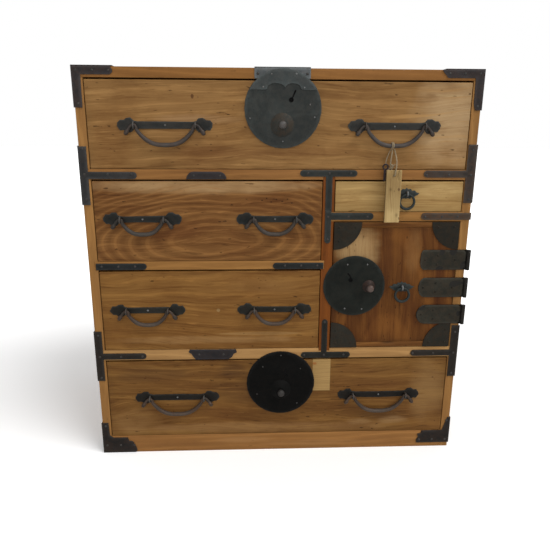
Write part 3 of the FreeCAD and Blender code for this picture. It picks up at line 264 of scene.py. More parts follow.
# Each iron: its colour, how brown it is, how rough, and its gloss. The colours are graded by height and
# carry painted light: irons high on the case are painted lighter, a painted reflection of the bright
# space above, and those low down near black, painted shade. The handles' plates darken the same way
# from plate_top to plate_bottom.
IRONS: dict[str, tuple[Colour, float, float, float]] = {
    "top_corner": ((0.0256, 0.0216, 0.0216), 0.3, 0.52, 0.13),
    "upper_left": ((0.022, 0.022, 0.022), 0.15, 0.5, 0.14),
    "upper_right": ((0.033, 0.0265, 0.022), 0.45, 0.52, 0.14),
    "moon": ((0.016, 0.014, 0.015), 0.25, 0.5, 0.14),
    "divider": ((0.0187, 0.0213, 0.0195), 0.2, 0.5, 0.12),
    "mid_right": ((0.044, 0.032, 0.023), 0.5, 0.52, 0.14),
    "mid_left": ((0.01, 0.012, 0.012), 0.15, 0.48, 0.12),
    "foot": ((0.01, 0.01, 0.008), 0.2, 0.5, 0.12),
    "low_tee": ((0.013, 0.011, 0.009), 0.3, 0.52, 0.12),
    "low_corner": ((0.014, 0.0115, 0.01), 0.45, 0.55, 0.12),
    "door_corner": ((0.0173, 0.0158, 0.0115), 0.35, 0.55, 0.09),
    "hinge": ((0.0243, 0.0225, 0.0162), 0.25, 0.55, 0.11),
    "barrel": ((0.012, 0.011, 0.009), 0.2, 0.5, 0.14),
    "top_disc": ((0.0238, 0.0272, 0.0252), 0.12, 0.47, 0.15),
    # cap and strike are painted lighter than the other irons: a painted highlight on the top of the case
    "cap": ((0.031, 0.037, 0.036), 0.1, 0.45, 0.22),
    "strike": ((0.0736, 0.0816, 0.0839), 0.1, 0.46, 0.26),
    "low_disc": ((0.00315, 0.00308, 0.0028), 0.15, 0.55, 0.05),
    "door_disc": ((0.00936, 0.0109, 0.00897), 0.15, 0.52, 0.09),
    "cone": ((0.027, 0.027, 0.023), 0.5, 0.55, 0.14),
    "door_cone": ((0.021, 0.015, 0.013), 0.6, 0.55, 0.14),
    "top_knob": ((0.034, 0.032, 0.03), 0.35, 0.42, 0.34),
    "bottom_knob": ((0.014, 0.013, 0.012), 0.3, 0.46, 0.2),
    "door_knob": ((0.05, 0.036, 0.031), 0.45, 0.46, 0.3),
    "nail": ((0.055, 0.057, 0.056), 0.3, 0.4, 0.4),
    "case_nail": ((0.024, 0.023, 0.021), 0.3, 0.45, 0.28),
    # slot: near black, painted shade for the keyhole's open slot and hole
    "slot": ((0.003, 0.003, 0.003), 0.1, 0.6, 0.05),
    "works": ((0.03, 0.028, 0.025), 0.4, 0.55, 0.2),
    "key": ((0.016, 0.01, 0.012), 0.4, 0.45, 0.24),
    "leaf": ((0.012, 0.017, 0.016), 0.35, 0.48, 0.2),
    "eye": ((0.033, 0.031, 0.028), 0.35, 0.45, 0.26),
    "bow_top": ((0.0374, 0.0323, 0.0289), 0.4, 0.46, 0.22),
    "bow_upper": ((0.0298, 0.0263, 0.0221), 0.45, 0.48, 0.2),
    "bow_low": ((0.0382, 0.0289, 0.0221), 0.5, 0.48, 0.2),
    "plate_top": ((0.0211, 0.0217, 0.0198), 0.2, 0.48, 0.12),
    "plate_upper": ((0.0143, 0.0155, 0.0143), 0.25, 0.5, 0.1),
    "plate_lower": ((0.0126, 0.0126, 0.0105), 0.25, 0.5, 0.1),
    "plate_bottom": ((0.0098, 0.0091, 0.0077), 0.25, 0.52, 0.09),
}


class Graph:
    """A node tree under construction, with short calls for the nodes it needs."""

    def __init__(self, tree: bpy.types.NodeTree) -> None:
        self.tree, self.nodes, self.links = tree, tree.nodes, tree.links

    @cached_property
    def place(self) -> Socket:
        """Object coordinates."""
        return self.nodes.new("ShaderNodeTexCoord").outputs["Object"]

    def feed(self, socket: Socket, value: Value) -> None:
        """Links a socket, or writes a constant onto it."""
        if isinstance(value, bpy.types.NodeSocket):
            self.links.new(value, socket)
        elif isinstance(value, tuple) and socket.type == "RGBA":
            socket.default_value = (*value, 1.0)
        else:
            socket.default_value = value

    def math(self, operation: str, first: Value, second: Value = 0.0, clamp: bool = False) -> Socket:
        """One arithmetic step; returns its output."""
        node = self.nodes.new("ShaderNodeMath")
        node.operation, node.use_clamp = operation, clamp
        self.feed(node.inputs[0], first)
        self.feed(node.inputs[1], second)
        return node.outputs[0]

    def times(self, first: Value, second: Value) -> Socket:
        """The product of two values."""
        return self.math("MULTIPLY", first, second)

    def plus(self, first: Value, second: Value) -> Socket:
        """The sum of two values."""
        return self.math("ADD", first, second)

    def minus(self, first: Value, second: Value) -> Socket:
        """The first value less the second."""
        return self.math("SUBTRACT", first, second)

    def span(self, value: Value, low: Value, high: Value, to_low: Value = 0.0,
             to_high: Value = 1.0) -> Socket:
        """Maps low..high smoothly onto to_low..to_high and holds the ends."""
        node = self.nodes.new("ShaderNodeMapRange")
        node.interpolation_type = "SMOOTHSTEP"
        for socket, given in zip(node.inputs, (value, low, high, to_low, to_high)):
            self.feed(socket, given)
        return node.outputs[0]

    def mix(self, share: Value, first: Value, second: Value, blend: str = "MIX") -> Socket:
        """Mixes two colours by a share."""
        node = self.nodes.new("ShaderNodeMix")
        node.data_type, node.blend_type = "RGBA", blend
        for number, given in ((0, share), (6, first), (7, second)):
            self.feed(node.inputs[number], given)
        return node.outputs[2]

    def over(self, colour: Value, tint: Value, value: Value, low: float, high: float,
             share: Value) -> Socket:
        """Lays a tint over a colour, from none where value is low to the share where it is high."""
        return self.mix(self.span(value, low, high, 0.0, share), colour, tint)

    def shaded(self, colour: Value, tint: Colour, value: Value, low: float, high: float,
               share: float) -> Socket:
        """Multiplies a colour by a tint, from none where value is low to the share where it is high."""
        share = self.span(value, low, high, 0.0, share)
        return self.mix(share, colour, self.mix(1.0, colour, tint, "MULTIPLY"))

    def noise(self, vector: Value, scale: float, detail: float = 3.0, rough: float = 0.5,
              wander: float = 0.0) -> Socket:
        """Fractal noise, 0 to 1."""
        node = self.nodes.new("ShaderNodeTexNoise")
        given = {"Vector": vector, "Scale": scale, "Detail": detail, "Roughness": rough, "Distortion": wander}
        for label, value in given.items():
            self.feed(node.inputs[label], value)
        return node.outputs["Fac"]

    def axes(self, vector: Value) -> bpy.types.NodeOutputs:
        """The three components of a vector."""
        node = self.nodes.new("ShaderNodeSeparateXYZ")
        self.feed(node.inputs[0], vector)
        return node.outputs

    def join(self, x: Value, y: Value, z: Value) -> Socket:
        """A vector of three values."""
        node = self.nodes.new("ShaderNodeCombineXYZ")
        for socket, given in zip(node.inputs, (x, y, z)):
            self.feed(socket, given)
        return node.outputs[0]

    def stretched(self, places: tuple[Value, Value, Value], scales: Point) -> Socket:
        """A vector of three places, each times its own scale."""
        return self.join(*(self.times(place, scale) for place, scale in zip(places, scales)))

    def mark(self, name: str) -> Socket:
        """A value painted on the mesh's points."""
        node = self.nodes.new("ShaderNodeAttribute")
        node.attribute_name = name
        return node.outputs["Fac"]

    def bump(self, height: Value, strength: float, distance: float, normal: Value = None) -> Socket:
        """Turns a height into a normal, over another normal if one is given."""
        node = self.nodes.new("ShaderNodeBump")
        self.feed(node.inputs["Height"], height)
        node.inputs["Strength"].default_value = strength
        node.inputs["Distance"].default_value = distance
        if normal is not None:
            self.feed(node.inputs["Normal"], normal)
        return node.outputs[0]

    def use(self, effect: bpy.types.NodeTree, **given: Value) -> bpy.types.NodeOutputs:
        """Places a shared effect with its own values; an input's words are joined by underscores."""
        node = self.nodes.new("ShaderNodeGroup")
        node.node_tree = effect
        for label, value in given.items():
            self.feed(node.inputs[label], value)
        return node.outputs


class Surface(Graph):
    """A material under construction."""

    def __init__(self, name: str) -> None:
        self.material = bpy.data.materials.new(name)
        self.material.use_nodes = True
        super().__init__(self.material.node_tree)
        self.shader = self.nodes["Principled BSDF"]

    def finish(self, colour: Value, rough: Value, normal: Value, metallic: float = 0.0, sheen: float = 0.0,
               gloss: float = 0.5) -> Material:
        """Wires the shader.

        Args:
            colour, rough, normal: what changes over the surface.
            metallic, sheen, gloss: plain values of the shader.

        Returns:
            The finished material.
        """
        plain = {"Base Color": colour, "Roughness": rough, "Normal": normal, "Metallic": metallic,
                 "Sheen Weight": sheen, "Specular IOR Level": gloss}
        for label, value in plain.items():
            self.feed(self.shader.inputs[label], value)
        return self.material


class Effects:
    """The node groups that several finishes share, each built once."""

    def __init__(self) -> None:
        self.grain = self.wood_grain()
        self.stain = self.soft_stain()
        self.skin = self.forged_skin()

    def opened(self, name: str, inputs: tuple[str, ...],
               outputs: tuple[str, ...]) -> tuple[Graph, dict[str, Socket], dict[str, Socket]]:
        """Starts a group.

        Args:
            name: the group's name.
            inputs, outputs: names of its plain number sockets.

        Returns:
            The graph inside it, its inputs by name and its outputs by name.
        """
        tree = bpy.data.node_groups.new(name, "ShaderNodeTree")
        for way, labels in (("INPUT", inputs), ("OUTPUT", outputs)):
            for label in labels:
                tree.interface.new_socket(name=label, in_out=way, socket_type="NodeSocketFloat")
        graph = Graph(tree)
        given = graph.nodes.new("NodeGroupInput").outputs
        wanted = graph.nodes.new("NodeGroupOutput").inputs
        return graph, {label: given[label] for label in inputs}, {label: wanted[label] for label in outputs}

    def wood_grain(self) -> bpy.types.NodeTree:
        """Rings, fibres and weathering of a solid wood that is the same inside as on its faces.

        The rings are shells round a slanted centre line: the distance from it, bent by slow
        noise and divided by the ring's width, drives a sine, so a flat face shows arches where
        it runs near the centre and stripes where it is far away.
        """
        g, given, wanted = self.opened(
            "wood_grain",
            ("along", "across", "depth", "sideways", "heart", "behind", "tilt", "spacing", "bend",
             "arch_middle", "arch"),
            ("wave", "ring", "fine", "broad", "short", "cloud", "specks", "veins", "soil"))
        along, across, depth = given["along"], given["across"], given["depth"]
        slow = g.noise(g.stretched((along, across, depth), (2.2, 7.0, 7.0)), 1.0, 3.0, 0.55)
        side = g.plus(g.minus(across, given["heart"]), g.times(g.minus(slow, 0.5), given["bend"]))
        away = g.minus(given["sideways"], given["arch_middle"])
        behind = g.plus(g.times(along, given["tilt"]), g.plus(depth, given["behind"]))
        behind = g.plus(behind, g.times(g.times(away, away), given["arch"]))
        distance = g.math("SQRT", g.plus(g.times(side, side), g.times(behind, behind)))
        wave = g.math("SINE", g.times(g.math("DIVIDE", distance, given["spacing"]), 2 * math.pi))
        bent, straight = (along, side, depth), (along, across, depth)
        made = {
            "wave": wave,
            "ring": g.span(wave, -0.2, 1.0),
            "fine": g.noise(g.stretched(bent, (14.0, 520.0, 520.0)), 1.0, 3.0, 0.6),
            "broad": g.noise(g.stretched(bent, (3.2, 34.0, 20.0)), 1.0, 5.0, 0.6, 0.4),
            "short": g.noise(g.stretched(bent, (22.0, 210.0, 210.0)), 1.0, 3.0, 0.55, 0.3),
            "cloud": g.noise(g.join(*straight), 5.5, 4.0, 0.55),
            "specks": g.noise(g.stretched(straight, (70.0, 190.0, 190.0)), 1.0, 2.0, 0.5),
            "veins": g.noise(g.stretched(bent, (7.0, 190.0, 90.0)), 1.0, 5.0, 0.7, 0.8),
            "soil": g.noise(g.stretched(straight, (11.0, 26.0, 1.0)), 1.0, 5.0, 0.65),
        }
        for label, value in made.items():
            g.feed(wanted[label], value)
        return g.tree

    def soft_stain(self) -> bpy.types.NodeTree:
        """The share of a soft-edged stain, knot or pale place.

        The squares of the offsets over the half sizes are added, noise breaks the sum up, and
        the share falls from the amount where it is low to 0 where it is high.
        """
        g, given, wanted = self.opened(
            "soft_stain", ("middle_x", "middle_z", "half_x", "half_z", "ragged", "low", "high", "amount"),
            ("share",))
        x, y, z = g.axes(g.place)
        dx = g.math("DIVIDE", g.minus(x, given["middle_x"]), given["half_x"])
        dz = g.math("DIVIDE", g.minus(z, given["middle_z"]), given["half_z"])
        streaks = g.noise(g.stretched((x, y, z), (9.0, 1.0, 45.0)), 1.0, 4.0, 0.6)
        rough = g.plus(streaks, g.noise(g.place, 22.0, 3.0))
        reach = g.plus(g.plus(g.times(dx, dx), g.times(dz, dz)),
                       g.times(g.minus(rough, 1.0), given["ragged"]))
        g.feed(wanted["share"], g.span(reach, given["low"], given["high"], given["amount"], 0.0))
        return g.tree

    def forged_skin(self) -> bpy.types.NodeTree:
        """Unevenness of forged iron: clouds of sheen, scuffs, grit and hammer marks, each one noise."""
        g, given, wanted = self.opened("forged_skin", ("shift",), ("cloud", "scuff", "grit", "hammer"))
        x, y, z = g.axes(g.place)
        moved = g.join(g.plus(x, given["shift"]), y, z)
        for label, scales in (("cloud", (22.0, 5.0, 0.62, 0.5)), ("scuff", (120.0, 4.0, 0.65)),
                              ("grit", (620.0, 2.0, 0.6)), ("hammer", (85.0, 1.5, 0.4))):
            g.feed(wanted[label], g.noise(moved, *scales))
        return g.tree


def scaled(colour: Colour, share: float) -> Colour:
    """A colour times a share, held at 1."""
    return tuple(min(1.0, c * share) for c in colour)


def wood(name: str, tone: WoodTone, effects: Effects) -> Material:
    """A finish of solid wood: grain, stains, grime and painted shade along edges and in hollows, and rubbed
    edges, from the bottom up.

    Args:
        name: the material's name.
        tone: its colours and figure.
        effects: the shared node groups.

    Returns:
        The material.
    """
    g = Surface(name)
    parts = dict(zip("XYZ", g.axes(g.place)))
    along, across, depth = (parts[axis] for axis in tone.grain.value)
    grain = g.use(effects.grain, along=g.plus(along, tone.shift), across=across, depth=depth,
                  sideways=parts["X"],
                  heart=tone.heart[0], behind=tone.heart[1], tilt=tone.tilt, spacing=tone.spacing,
                  bend=tone.waver * 4, arch_middle=tone.arch[0], arch=tone.arch[1])
    broad, short, fine, cloud = grain["broad"], grain["short"], grain["fine"], grain["cloud"]
    light, mid, dark = tone.light, tone.mid, tone.dark
    colour = g.mix(g.span(broad, 0.34, 0.68, 0.5 - tone.flow / 2, 0.5 + tone.flow / 2), mid, light)
    colour = g.mix(g.times(grain["ring"], tone.figure), colour, dark)
    crest = g.times(g.span(grain["wave"], -0.55, -1.0), g.span(broad, 0.35, 0.6, 0.3, 1.0))
    colour = g.mix(g.times(crest, tone.figure * 1.5), colour, scaled(light, 1.5))
    colour = g.over(colour, scaled(light, 1.55), short, 0.60, 0.74, tone.streak)
    colour = g.over(colour, scaled(dark, 0.55), short, 0.40, 0.27, tone.fleck)
    colour = g.over(colour, tone.red[0], cloud, 0.48, 0.72, tone.red[1])
    for stain in tone.patches:
        colour = patch(g, effects, colour, stain)
    colour = g.shaded(colour, (0.78, 0.74, 0.68), fine, 0.3, 0.7, 0.5)
    colour = g.over(colour, scaled(dark, 0.35), grain["specks"], 0.69, 0.75, 0.75)
    colour = g.shaded(colour, (0.66, 0.58, 0.50), grain["veins"], 0.50, 0.30, 0.85)
    colour = g.over(colour, scaled(light, 1.3), grain["veins"], 0.53, 0.70, 0.6)
    colour = g.shaded(colour, (0.70, 0.62, 0.54), grain["soil"], 0.52, 0.34, 0.55)
    for piece in tone.inlays:
        colour = inlay(g, colour, piece, fine)
    # the mark darkens the wood: grime, with painted shade along the gaps round the fronts, under the locks'
    # rims, in the tag's split and hole and on its left side
    colour = g.mix(g.times(g.mark("grime"), 0.75), colour, scaled(mid, 0.22))
    edge = g.span(g.plus(g.mark("wear"), g.times(g.minus(cloud, 0.5), 0.9)), 0.55, 1.1)
    colour = g.mix(g.times(edge, 0.5), colour, scaled(light, 1.35))
    height = g.plus(g.times(fine, 0.45), g.plus(g.times(short, 0.5), g.times(grain["ring"], 0.15)))
    normal = g.bump(height, 0.55, 0.0006, g.bump(g.noise(g.place, 26.0, 2.0, 0.5), 0.25, 0.002))
    rough = g.span(broad, 0.3, 0.7, tone.rough - 0.06, tone.rough + 0.1)
    return g.finish(colour, rough, normal, gloss=tone.gloss)


def patch(g: Surface, effects: Effects, colour: Value, stain: Patch) -> Socket:
    """Lays a soft-edged stain, knot or pale place over a wood's colour.

    Args:
        g: the material.
        effects: the shared node groups.
        colour: the colour so far.
        stain: the patch; one under 5 mm high or wide has a firmer edge.

    Returns:
        The new colour.
    """
    x, z, wide, high, tint, amount = stain
    ragged, near, far = (1.5, 0.0, 1.5) if min(wide, high) > 5 else (0.5, 0.6, 1.3)
    share = g.use(effects.stain, middle_x=x * MM, middle_z=z * MM, half_x=wide * MM, half_z=high * MM,
                  ragged=ragged, low=near, high=far, amount=amount)["share"]
    return g.mix(share, colour, tint)


def inlay(g: Surface, colour: Value, piece: Patch, fine: Value) -> Socket:
    """Lays a let-in piece of other wood over a wood's colour, with straight edges and a dark joint.

    The larger of the offsets over the half sizes is below 1 inside the piece.

    Args:
        g: the material.
        colour: the colour so far.
        piece: the let-in piece.
        fine: noise of the fibres, which shades the piece too.

    Returns:
        The new colour.
    """
    x, z, wide, high, tint, amount = piece
    place_x, _, place_z = g.axes(g.place)
    offsets = [g.math("ABSOLUTE", g.math("DIVIDE", g.minus(place, middle * MM), half * MM))
               for place, middle, half in ((place_x, x, wide), (place_z, z, high))]
    reach = g.math("MAXIMUM", *offsets)
    grained = g.mix(g.span(fine, 0.35, 0.65), scaled(tint, 0.78), tint)
    colour = g.mix(g.span(reach, 1.0, 1.015, amount, 0.0), colour, grained)
    joint = g.times(g.span(reach, 0.97, 1.0), g.span(reach, 1.04, 1.01))
    return g.mix(g.times(joint, 0.55), colour, scaled(tint, 0.25))


def iron(name: str, tone: IronTone, effects: Effects) -> Material:
    """Forged and blackened sheet iron: rubbed bright in places, brown in others, dented all over.

    Args:
        name: the material's name.
        tone: its colour and surface.
        effects: the shared node groups.

    Returns:
        The material.
    """
    g = Surface(name)
    skin = g.use(effects.skin, shift=tone.shift)
    scuff, grit = skin["scuff"], skin["grit"]
    red, green, blue = tone.colour
    body, sheen = scaled(tone.colour, 0.72), scaled(tone.colour, 1.4)
    colour = g.over(body, sheen, skin["cloud"], 0.40, 0.70, 0.8)
    colour = g.over(colour, (1.7 * red, 1.1 * green, 0.75 * blue), scuff, 0.60, 0.42, tone.brown)
    colour = g.over(colour, scaled(body, 0.45), grit, 0.55, 0.72, 0.55)
    edge = g.times(g.mark("wear"), g.span(scuff, 0.35, 0.6, 0.25, 1.0))
    colour = g.mix(g.times(edge, 0.55), colour, tuple(min(1.0, c * 2.6 + 0.02) for c in sheen))
    dents = g.bump(g.plus(skin["hammer"], g.times(scuff, 0.4)), 0.35, 0.0016)
    rough = g.span(scuff, 0.35, 0.65, tone.rough - 0.08, tone.rough + 0.14)
    return g.finish(colour, rough, g.bump(grit, 0.22, 0.0003, dents), metallic=0.1, gloss=tone.gloss)


def twine_fibre(name: str, light: Colour, dark: Colour) -> Material:
    """Twisted paper or bast twine: strands that lie slantwise, with a dry sheen."""
    g = Surface(name)
    x, _, z = g.axes(g.place)
    twist = g.math("SINE", g.times(g.plus(z, g.times(x, 0.9)), 3400.0))
    # the twist is painted into the colour too: dark in the grooves between strands, painted shade, and light
    # on their crests, painted highlight
    colour = g.mix(g.span(twist, -0.8, 0.8), dark, light)
    colour = g.over(colour, dark, g.noise(g.place, 90.0, 2.0), 0.35, 0.7, 0.5)
    normal = g.bump(g.plus(twist, g.noise(g.place, 900.0, 3.0, 0.6)), 0.7, 0.0004)
    return g.finish(colour, 0.85, normal, sheen=0.3)


@dataclass
class Shell:
    """A surface under construction.

    Args:
        points: an array of n rows, in millimetres.
        faces: tuples of point numbers.
        marks: painted values by name, one per point.
    """

    points: np.ndarray
    faces: Faces
    marks: dict[str, np.ndarray] = field(default_factory=dict)

    def moved(self, x: float = 0.0, y: float = 0.0, z: float = 0.0) -> "Shell":
        """The same surface somewhere else."""
        return Shell(self.points + np.array([x, y, z]), self.faces, self.marks)

    def painted(self, name: str, values: np.ndarray | float) -> "Shell":
        """The same surface with one more painted value."""
        spread = np.broadcast_to(np.asarray(values, float), (len(self.points),)).copy()
        return Shell(self.points, self.faces, {**self.marks, name: spread})


def joined(shells: list[Shell]) -> Shell:
    """Several surfaces as one, with the marks of each kept and missing ones set to 0."""
    names = sorted({name for shell in shells for name in shell.marks})
    faces, start = [], 0
    for shell in shells:
        faces += [tuple(index + start for index in face) for face in shell.faces]
        start += len(shell.points)
    marks = {name: np.concatenate([shell.marks.get(name, np.zeros(len(shell.points))) for shell in shells])
             for name in names}
    return Shell(np.vstack([shell.points for shell in shells]), faces, marks)


def quads(rings: int, sides: int, closed: bool = False) -> Faces:
    """Faces between rings of points: each joins a point and its ring's next point to the next ring's two.

    Args:
        rings: number of rings.
        sides: points in each ring; point i of ring r has the number r * sides + i.
        closed: whether the last ring joins the first.
    """
    ring = np.arange(rings if closed else rings - 1)[:, None] * sides
    here = np.arange(sides)[None, :]
    after, ahead = (here + 1) % sides, (ring + sides) % (rings * sides)
    corners = np.stack([ring + here, ring + after, ahead + after, ahead + here], axis=-1)
    return [tuple(face) for face in corners.reshape(-1, 4).tolist()]


def ripple(u: np.ndarray, v: np.ndarray, seed: int, wave: float = 40.0, waves: int = 5) -> np.ndarray:
    """A gentle unevenness from -1 to 1: the mean of several sine waves that run in random directions.

    Args:
        u, v: places.
        seed: number of the unevenness.
        wave: middle length of the waves.
        waves: how many there are.
    """
    rng = np.random.default_rng(seed)
    total = np.zeros_like(np.asarray(u, float))
    for _ in range(waves):
        angle, phase = rng.uniform(0, 2 * np.pi, 2)
        length = wave * rng.uniform(0.6, 1.6)
        total += np.sin((u * np.cos(angle) + v * np.sin(angle)) * 2 * np.pi / length + phase)
    return total / waves


def stops(low: float, high: float, edge: float, step: float) -> np.ndarray:
    """Grid lines from low to high: close together in the rounded edges and evenly spaced between."""
    near = np.array([0.0, 0.12, 0.38, 0.70, 1.0]) * edge
    count = max(1, int(math.ceil((high - low - 2 * edge) / step)))
    middle = np.linspace(low + edge, high - edge, count + 1)[1:-1]
    return np.concatenate([low + near, middle, high - near[::-1]])


def slab(low: Point, high: Point, edge: float = 1.2, step: float = 9.0, uneven: float = 0.25,
         seed: int = 1) -> Shell:
    """A board with rounded edges and a hand-planed face.

    A point of the box's grid is held inside the box shrunk by the edge radius; what is left
    of its offset is stretched to that radius, which turns edges and corners into quarter
    rounds. The front then rises and falls a little.

    Args:
        low, high: opposite corners in millimetres.
        edge: radius of the edges.
        step: size of the grid.
        uneven: height of the planing marks on the front face.
        seed: number of the unevenness.

    Returns:
        The board, with the mark "wear", 1 on its edges.
    """
    low, high = np.array(low, float), np.array(high, float)
    edge = min(edge, float((high - low).min()) * 0.45)
    grid = [stops(low[a], high[a], edge, step) for a in range(3)]
    keys = []
    for axis in range(3):
        first, second = (axis + 1) % 3, (axis + 2) % 3
        i, j = np.meshgrid(np.arange(len(grid[first]) - 1), np.arange(len(grid[second]) - 1), indexing="ij")
        for end in (0, len(grid[axis]) - 1):
            corners = np.full((i.size, 4, 3), end)
            corners[:, :, first] = i.reshape(-1, 1) + np.array([0, 1, 1, 0])
            corners[:, :, second] = j.reshape(-1, 1) + np.array([0, 0, 1, 1])
            keys.append(corners if end else corners[:, ::-1])
    unique, numbers = np.unique(np.vstack(keys).reshape(-1, 3), axis=0, return_inverse=True)
    array = np.column_stack([grid[a][unique[:, a]] for a in range(3)])
    held = np.clip(array, low + edge, high - edge)
    offset = array - held
    size = np.linalg.norm(offset, axis=1, keepdims=True)
    array = held + np.divide(offset, size, out=np.zeros_like(offset), where=size > 0) * edge
    nearest = np.sort(np.minimum(array - low, high - array), axis=1)[:, 1]
    front = np.exp(-np.maximum(array[:, 1] - low[1], 0) / 1.5)
    inside = np.clip((nearest - edge) / 8.0, 0, 1)
    array[:, 1] += front * inside * uneven * ripple(array[:, 0], array[:, 2] * 3.0, seed, 160.0)
    faces = [tuple(face) for face in numbers.reshape(-1, 4).tolist()]
    return Shell(array, faces, {"wear": np.exp(-nearest / 1.6)})


def resampled(outline: Line, step: float) -> np.ndarray:
    """The same closed line with no side longer than step, anticlockwise."""
    corners = np.array(outline, float)
    following = np.roll(corners, -1, axis=0)
    if np.sum(corners[:, 0] * following[:, 1] - following[:, 0] * corners[:, 1]) < 0:
        corners = corners[::-1]
        following = np.roll(corners, -1, axis=0)
    rows = []
    for here, there in zip(corners, following):
        count = max(1, int(math.ceil(np.linalg.norm(there - here) / step)))
        rows.append(here + (there - here) * (np.arange(count) / count)[:, None])
    return np.vstack(rows)


def inset_line(line: np.ndarray, depth: float) -> np.ndarray:
    """A closed anticlockwise line drawn in by a depth, each point along the mean of its sides' normals."""
    before, after = line - np.roll(line, 1, axis=0), np.roll(line, -1, axis=0) - line
    normals = []
    for side in (before, after):
        side = side / np.maximum(np.linalg.norm(side, axis=1, keepdims=True), 1e-9)
        normals.append(np.column_stack([-side[:, 1], side[:, 0]]))
    mean = normals[0] + normals[1]
    mean = mean / np.maximum(np.linalg.norm(mean, axis=1, keepdims=True), 1e-9)
    stretch = 1.0 / np.maximum((mean * normals[0]).sum(axis=1, keepdims=True), 0.6)
    return line + mean * depth * stretch


def inside_line(line: np.ndarray, points: np.ndarray) -> np.ndarray:
    """Which points lie inside a closed line: those whose ray crosses an odd number of its sides."""
    a, b = line, np.roll(line, -1, axis=0)
    x, z = points[:, :1], points[:, 1:]
    spans = (a[:, 1] > z) != (b[:, 1] > z)
    cut = a[:, 0] + (z - a[:, 1]) * (b[:, 0] - a[:, 0]) / np.where(spans, b[:, 1] - a[:, 1], 1.0)
    return np.count_nonzero(spans & (x < cut), axis=1) % 2 == 1


def sheet_iron(outline: Line, thick: float = IRON, edge: float = 0.5, step: float = 4.5, uneven: float = 0.18,
               crown: float = 0.0, seed: int = 1) -> Shell:
    """A plate cut to an outline, in the plane of u and v with its face at height thick.

    Three rings walk in from the outline while they rise in a quarter round; the last one
    and a grid of points inside it are joined into triangles, and the points inside rise and
    fall a little as forged sheet does.

    Args:
        outline: corners of the plate.
        thick: height of its face over the board.
        edge: radius of the rim.
        step: size of the grid.
        uneven: height of the hammering.
        crown: how much higher the middle is than the rim.
        seed: number of the hammering.

    Returns:
        Points as (u, v, height), and the mark "wear", 1 on the rim.
    """
    line = resampled(outline, step)
    rounds = [(0.0, 0.0, 0.7), (0.0, thick - edge, 1.0), (edge * 0.3, thick - edge * 0.3, 1.0),
              (edge, thick, 0.45)]
    loops = [inset_line(line, depth) if depth else line for depth, _, _ in rounds]
    n = len(line)
    points = [np.column_stack([loop, np.full(n, height)]) for loop, (_, height, _) in zip(loops, rounds)]
    wear = [np.full(n, worn) for _, _, worn in rounds]
    faces = quads(len(rounds), n)
    rim = loops[-1]
    low, high = rim.min(axis=0), rim.max(axis=0)
    u, v = np.meshgrid(np.arange(low[0], high[0], step), np.arange(low[1], high[1], step), indexing="ij")
    grid = np.column_stack([u.ravel(), v.ravel()])
    grid = grid[inside_line(inset_line(rim, step * 0.4), grid) & inside_line(rim, grid)]
    vertices = [Vector(p) for p in np.vstack([rim, grid])]
    edges = [(i, (i + 1) % n) for i in range(n)]
    made, _, cells, sources, _, _ = delaunay_2d_cdt(vertices, edges, [], 1, 1e-5)
    last = (len(rounds) - 1) * n
    on_rim = np.array([bool(source) and source[0] < n for source in sources])
    place = np.where(on_rim, [last + source[0] if source else 0 for source in sources],
                     last + n + np.cumsum(~on_rim) - 1)
    faces += [tuple(int(place[i]) for i in cell) for cell in cells]
    if not on_rim.all():
        rest = np.array([(*vertex, thick) for vertex, held in zip(made, on_rim) if not held])
        gap = np.sqrt(((rim[None, :, :] - rest[:, None, :2]) ** 2).sum(axis=2)).min(axis=1)
        reach = max(gap.max(), 1e-6)
        rest[:, 2] += uneven * ripple(rest[:, 0], rest[:, 1], seed, 22.0) * np.clip(gap / 4.0, 0, 1)
        rest[:, 2] += crown * np.sin(np.clip(gap / reach, 0, 1) * np.pi / 2)
        points.append(rest)
        wear.append(np.exp(-gap / 1.2) * 0.45)
    return Shell(np.vstack(points), faces, {"wear": np.concatenate(wear)})


def on_front(shell: Shell, plane: float = FRONT) -> Shell:
    """A plate laid on a face that looks along -Y: (u, v, height) becomes (u, plane - height, v)."""
    u, v, height = shell.points.T
    return Shell(np.column_stack([u, plane - height, v]), shell.faces, shell.marks)


def lathe(profile: Line, sides: int = 24) -> Shell:
    """A profile of (radius, height) turned about the height axis; heights grow outwards from the board."""
    rings = [(max(radius, 1e-4), height) for radius, height in profile]
    angle = np.arange(sides) * 2 * np.pi / sides
    points = [np.column_stack([r * np.cos(angle), r * np.sin(angle), np.full(sides, h)]) for r, h in rings]
    last = (len(rings) - 1) * sides
    return Shell(np.vstack(points), [*quads(len(rings), sides), tuple(range(last, last + sides))])


